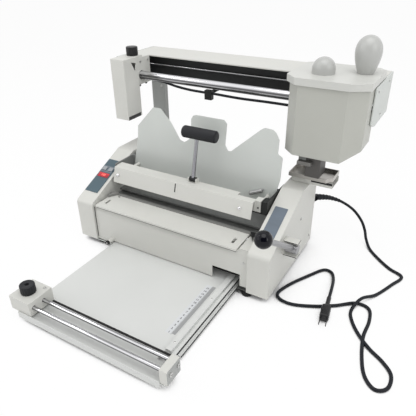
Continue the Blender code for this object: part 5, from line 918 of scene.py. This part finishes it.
# Thin black strips on the fork's front and outer edges are painted shade along its edges.
for name, z in (("fork_edge_top", 0.1203), ("fork_edge_bottom", 0.0877)):
    front, end = spot(0.2662, 0.0628, z), spot(0.2812, 0.0720, z)
    small_block(name, "frame", front, (0.0290, 0.0016, 0.0004), black_steel, (0, -1, 0))
    small_block(
        name + "_end", "frame", end, (0.0170, 0.0016, 0.0004), black_steel,
        (1, 0, 0),
    )
ball_black = finish_shader("glossy_black_ball", (0.003, 0.003, 0.006), 0.06, patches=0.02, sheen=0.25)
lever_rise = math.radians(35.5)
lever_way = Vector((0, -math.cos(lever_rise), math.sin(lever_rise)))
lever_length, ball_radius, neck_radius = 0.188, 0.0158, 0.0080
ball_middle = spot(0.268, 0.070, 0.104) + lever_way * lever_length
ball = [(0, ball_radius)]
for step in range(1, 33):
    angle = math.pi * step / 36
    if ball_radius * math.sin(angle) < neck_radius and angle > math.pi / 2:
        break
    ball.append((ball_radius * math.sin(angle), ball_radius * math.cos(angle)))
ball += [(neck_radius, -0.0150), (0.0079, -0.0182), (0.0074, -0.0187), (0, -0.0187)]
turned_piece("lever_ball", ball, ball_middle, lever_way, ball_black, "side_lever_ball", 72)

# Creasing table
# A painted steel plate with a folded lip in front and two rails at its right slides out of the machine. A
# printed rule lies along its right edge, a rubber strip across its front, and two chromed rods over that,
# their light and dark bands painted reflection.

table_paint = finish_shader("table_grey_paint", (0.655, 0.665, 0.650), 0.38, grain=0.14, patches=0.015)
plate = edged("table_plate", table_paint, 0.0004)
rail_side_x, lip_rear_y = 0.1396, -0.2750
refinish(plate, black_steel, lambda face: face.center.x > rail_side_x and face.center.y > lip_rear_y)
anvil = edged("anvil_strip", rubber, 0.0004)
to_strip = Matrix.Translation((0, -0.2730, 0))
anvil.data.transform(to_strip @ Matrix.Diagonal((1, 1.6, 1, 1)) @ to_strip.inverted())
block = edged("rod_end_right", warm_paint, 0.0)
refinish(block, post_paint, lambda face: face.normal.x > 0.9)
edged("rod_end_left", plated, 0.0008)
round_bar("rod_front", banded_reflection_chrome)
round_bar("rod_rear", banded_reflection_chrome)
ink = finish_shader("rule_ink", (0.12, 0.12, 0.13), 0.6, patches=0.1)
strip_white = finish_shader("rule_strip_white", (0.66, 0.675, 0.69), 0.35, grain=0.1, patches=0.02)
strip_grey = finish_shader("rule_edge_grey", (0.33, 0.335, 0.34), 0.40, grain=0.1, patches=0.03)
small_block(
    "rule_strip", "table", spot(0.1295, -0.0980, 0.01702), (0.0136, 0.1540, 0.00006), strip_white
)
small_block("rule_edge", "table", spot(0.1402, -0.0975, 0.0171), (0.0076, 0.1520, 0.0004), strip_grey)
seam_dark = finish_shader("seam_shadow", (0.035, 0.036, 0.036), 0.6, patches=0.1, sheen=0.1)
rail_tails = (
    ("rail_tail", 0.156, 0.012, 0.0195, 0.005),
    ("rail_tail_low", 0.169, 0.010, 0.01525, 0.0035),
    ("rail_tail_web", 0.161, 0.026, 0.0140, 0.0008),
)
for name, x, width, z, height in rail_tails:
    small_block(name, "table", spot(x, 0.0060, z), (width, 0.0616, height), table_paint)
small_block(
    "rail_cheek", "table", spot(0.1728, -0.0900, 0.01712), (0.0030, 0.2420, 0.0003), seam_dark
)
small_block(
    "rail_groove", "table", spot(0.1630, -0.1190, 0.0155), (0.0016, 0.1860, 0.0004), seam_dark
)
rule_x, rule_low_y, rule_z, ink_height = 0.1366, -0.175, 0.01702, 0.00008
ticks = []
for index in range(153):
    width = 0.0030 if index % 10 == 5 else 0.0040 if index % 10 == 0 else 0.0018
    ticks.append((rule_x - width, rule_low_y + 0.001 * index, width, 0.00022))
ticks.append((rule_x, rule_low_y - 0.001, 0.0003, 0.1545))
shape = bmesh.new()
for x, y, width, length in ticks:
    tick = bmesh.ops.create_cube(shape, size=1)["verts"]
    bmesh.ops.scale(shape, vec=(width, length, ink_height), verts=tick)
    bmesh.ops.translate(shape, vec=spot(x + width / 2, y + length / 2, rule_z + ink_height / 2), verts=tick)
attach(solid_piece("rule_ticks", shape, ink), "table")
rule = [(str(n + 1), spot(0.1296, -0.172 + 0.010 * n, 0.01706)) for n in range(15)]
numbers("rule_figures", rule, 0.0066, "table", ink)
bolt_places = [(spot(0.1974, y, 0.0375), (1, 0, 0)) for y in (-0.2645, -0.2425)]
screws("rod_end_bolts", "table", bolt_places, 0.0040, 0.0026, "socket")
rail_places = [(spot(0.156, y, 0.0219), (0, 0, 1)) for y in (-0.192, -0.060)]
screws("rail_screws", "table", rail_places, 0.0022, 0.0008)

# Creasing carriage
# A folded hood with a bearing block runs along the two rods. The fluted knob presses the steel creasing
# wheel down on the strip.

edged("crease_carriage", warm_paint, 0.0008)
edged("crease_wheel", plated, 0.0003, 50)
fluted_knob("crease_knob", "pressure_knob", grip_rubber, 0.0148, 0.0042)
mark_x, mark_y, mark_z, line_width, line_length = -0.1290, -0.2240, 0.0521, 0.0005, 0.0050
for side in (-0.0022, 0.0022):
    side_middle, end_middle = spot(mark_x + side, mark_y, mark_z), spot(mark_x, mark_y + side * 1.1, mark_z)
    small_block("hood_mark_side", "carriage", side_middle, (line_width, line_length, 0.0002), seam_dark)
    small_block(
        "hood_mark_end", "carriage", end_middle, (line_length * 0.95, line_width, 0.0002), seam_dark
    )
screws("hood_screw", "carriage", [(spot(-0.126, -0.224, 0.0519), (0, 0, 1))], 0.0024, 0.0012, "socket")

# Leads of the two heads
# Two round rubber leads hang from the clip under the beam to the milling head and to the glue pot.

lead_rubber = finish_shader(
    "lead_rubber", (0.012, 0.014, 0.018), 0.50, grain=0.06, grain_scale=1600, patches=0.1, sheen=0.2
)


def smooth_route(route, count):
    """Evenly spaced points on a smooth curve through the route's points."""
    ends = [route[0] * 2 - route[1], *route, route[-1] * 2 - route[-2]]
    fine = [*smooth_points(ends, 24), route[-1]]
    lengths = [0]
    for first, second in zip(fine, fine[1:]):
        lengths.append(lengths[-1] + (second - first).length)
    points, index = [], 0
    for step in range(count):
        wanted = lengths[-1] * step / (count - 1)
        while index < len(fine) - 2 and lengths[index + 1] < wanted:
            index += 1
        share = (wanted - lengths[index]) / (lengths[index + 1] - lengths[index])
        points.append(fine[index].lerp(fine[index + 1], min(max(share, 0), 1)))
    return points


def round_lead(name, points, radius, finish):
    """A round rubber lead along the given points, as a curve with closed ends."""
    curve = bpy.data.curves.new(name, "CURVE")
    curve.dimensions = "3D"
    curve.bevel_depth = radius
    curve.bevel_resolution = 6
    curve.use_fill_caps = True
    spline = curve.splines.new("POLY")
    spline.points.add(len(points) - 1)
    for point, place in zip(spline.points, points):
        point.co = (*place, 1)
    curve.materials.append(finish)
    return in_scene(name, curve)


lead_y, lead_z, lead_end, lead_radius = spot(0, 0.270).y, 0.3275, 0.006, 0.003
for node, body, end_y, sags in (
    ("head_cable", "head", spot(0, 0.270).y, (-4.6, -3.6, -1.5, -0.3, 0.0)),
    ("pot_cable", "pot", spot(0, 0.261).y, (0.0, 0.2, -0.5, -0.9)),
):
    low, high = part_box(node)
    drops = [lead_z - lead_radius * sag for sag in sags]
    route = []
    for index, z in enumerate(drops):
        share = index / (len(drops) - 1)
        x = low.x + lead_end + (high.x - low.x - lead_end * 2) * share
        route.append(Vector((x, lead_y + (end_y - lead_y) * share, z)))
    first, last = Vector((low.x, lead_y, drops[0])), Vector((high.x, end_y, drops[-1]))
    points = [first, *smooth_route(route, 60), last]
    mesh = plain_mesh(round_lead(node + "_lead", points, lead_radius, lead_rubber))
    mesh.shade_smooth()
    lead = in_scene(node + "_lead", mesh)
    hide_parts(node)
    if body == "head":
        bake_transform(lead)
    else:
        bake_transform(lead)

# Mains cord and plug
# A 6.6 mm round rubber cord leaves the right housing through a ribbed strain relief and lies in loose
# loops, with a moulded two-blade plug at its end. Where its route gives no height, it lies on the ground.

lying_z = 0.0036
cord_route = (
    (0.256, 0.318, 0.100), (0.270, 0.334, 0.093), (0.293, 0.346, 0.083), (0.321, 0.352, 0.066),
    (0.344, 0.350, 0.044), (0.358, 0.342, 0.024), (0.368, 0.322, 0.0120), (0.385, 0.295), (0.414, 0.263),
    (0.441, 0.240), (0.469, 0.223), (0.456, 0.186), (0.434, 0.136), (0.412, 0.100, 0.0110), (0.402, 0.066),
    (0.410, 0.038), (0.430, 0.008), (0.456, -0.018), (0.484, -0.038), (0.502, -0.060), (0.502, -0.090),
    (0.484, -0.102), (0.463, -0.082), (0.449, -0.042), (0.440, 0.006), (0.440, 0.052), (0.431, 0.086),
    (0.404, 0.090), (0.372, 0.064), (0.334, 0.040), (0.294, 0.024), (0.266, 0.027), (0.256, 0.044),
    (0.268, 0.082), (0.292, 0.128), (0.314, 0.164), (0.332, 0.164), (0.343, 0.142, 0.0045),
    (0.350, 0.106, 0.0097), (0.355, 0.070, 0.0120),
)
cord_diameter = 0.0066
relief_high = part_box("strain_relief")[1]
start = Vector((spot(0.238, 0).x, relief_high.y + 0.0003, 0.105))
route = [start + Vector((0, cord_diameter, 0)), *[spot(*(*place, lying_z)[:3]) for place in cord_route]]
points = [start, *smooth_route(route, 300)]
cord = round_lead("mains_lead", points, cord_diameter / 2, lead_rubber)
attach(cord, "frame")
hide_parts("mains_cord")
edged("strain_relief", lead_rubber, 0.0003, 50)
sleeve_points = [points[0].lerp(points[1], 0.02), *points[1:17]]
last_rib, sides = len(sleeve_points) - 1, 24
rings = []
sleeve = bmesh.new()
for index, place in enumerate(sleeve_points):
    reach = 0.0086 - 0.0042 * index / last_rib - (0.0009 if index % 2 else 0.0)
    way = (sleeve_points[min(index + 1, last_rib)] - sleeve_points[max(index - 1, 0)]).normalized()
    side = way.cross(Vector((0, 0, 1))).normalized()
    rise = side.cross(way)
    ring = []
    for k in range(sides):
        angle = 2 * math.pi * k / sides
        ring.append(sleeve.verts.new(place + (side * math.cos(angle) + rise * math.sin(angle)) * reach))
    rings.append(ring)
for first, second in zip(rings, rings[1:]):
    for k in range(sides):
        sleeve.faces.new((first[k], first[(k + 1) % sides], second[(k + 1) % sides], second[k]))
sleeve.faces.new(rings[0])
sleeve.faces.new(rings[-1])
bmesh.ops.recalc_face_normals(sleeve, faces=sleeve.faces)
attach(solid_piece("relief_sleeve", sleeve, lead_rubber), "frame")
plug_piece = edged("plug", black_plastic, 0.0003)

# Sizes

low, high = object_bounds()
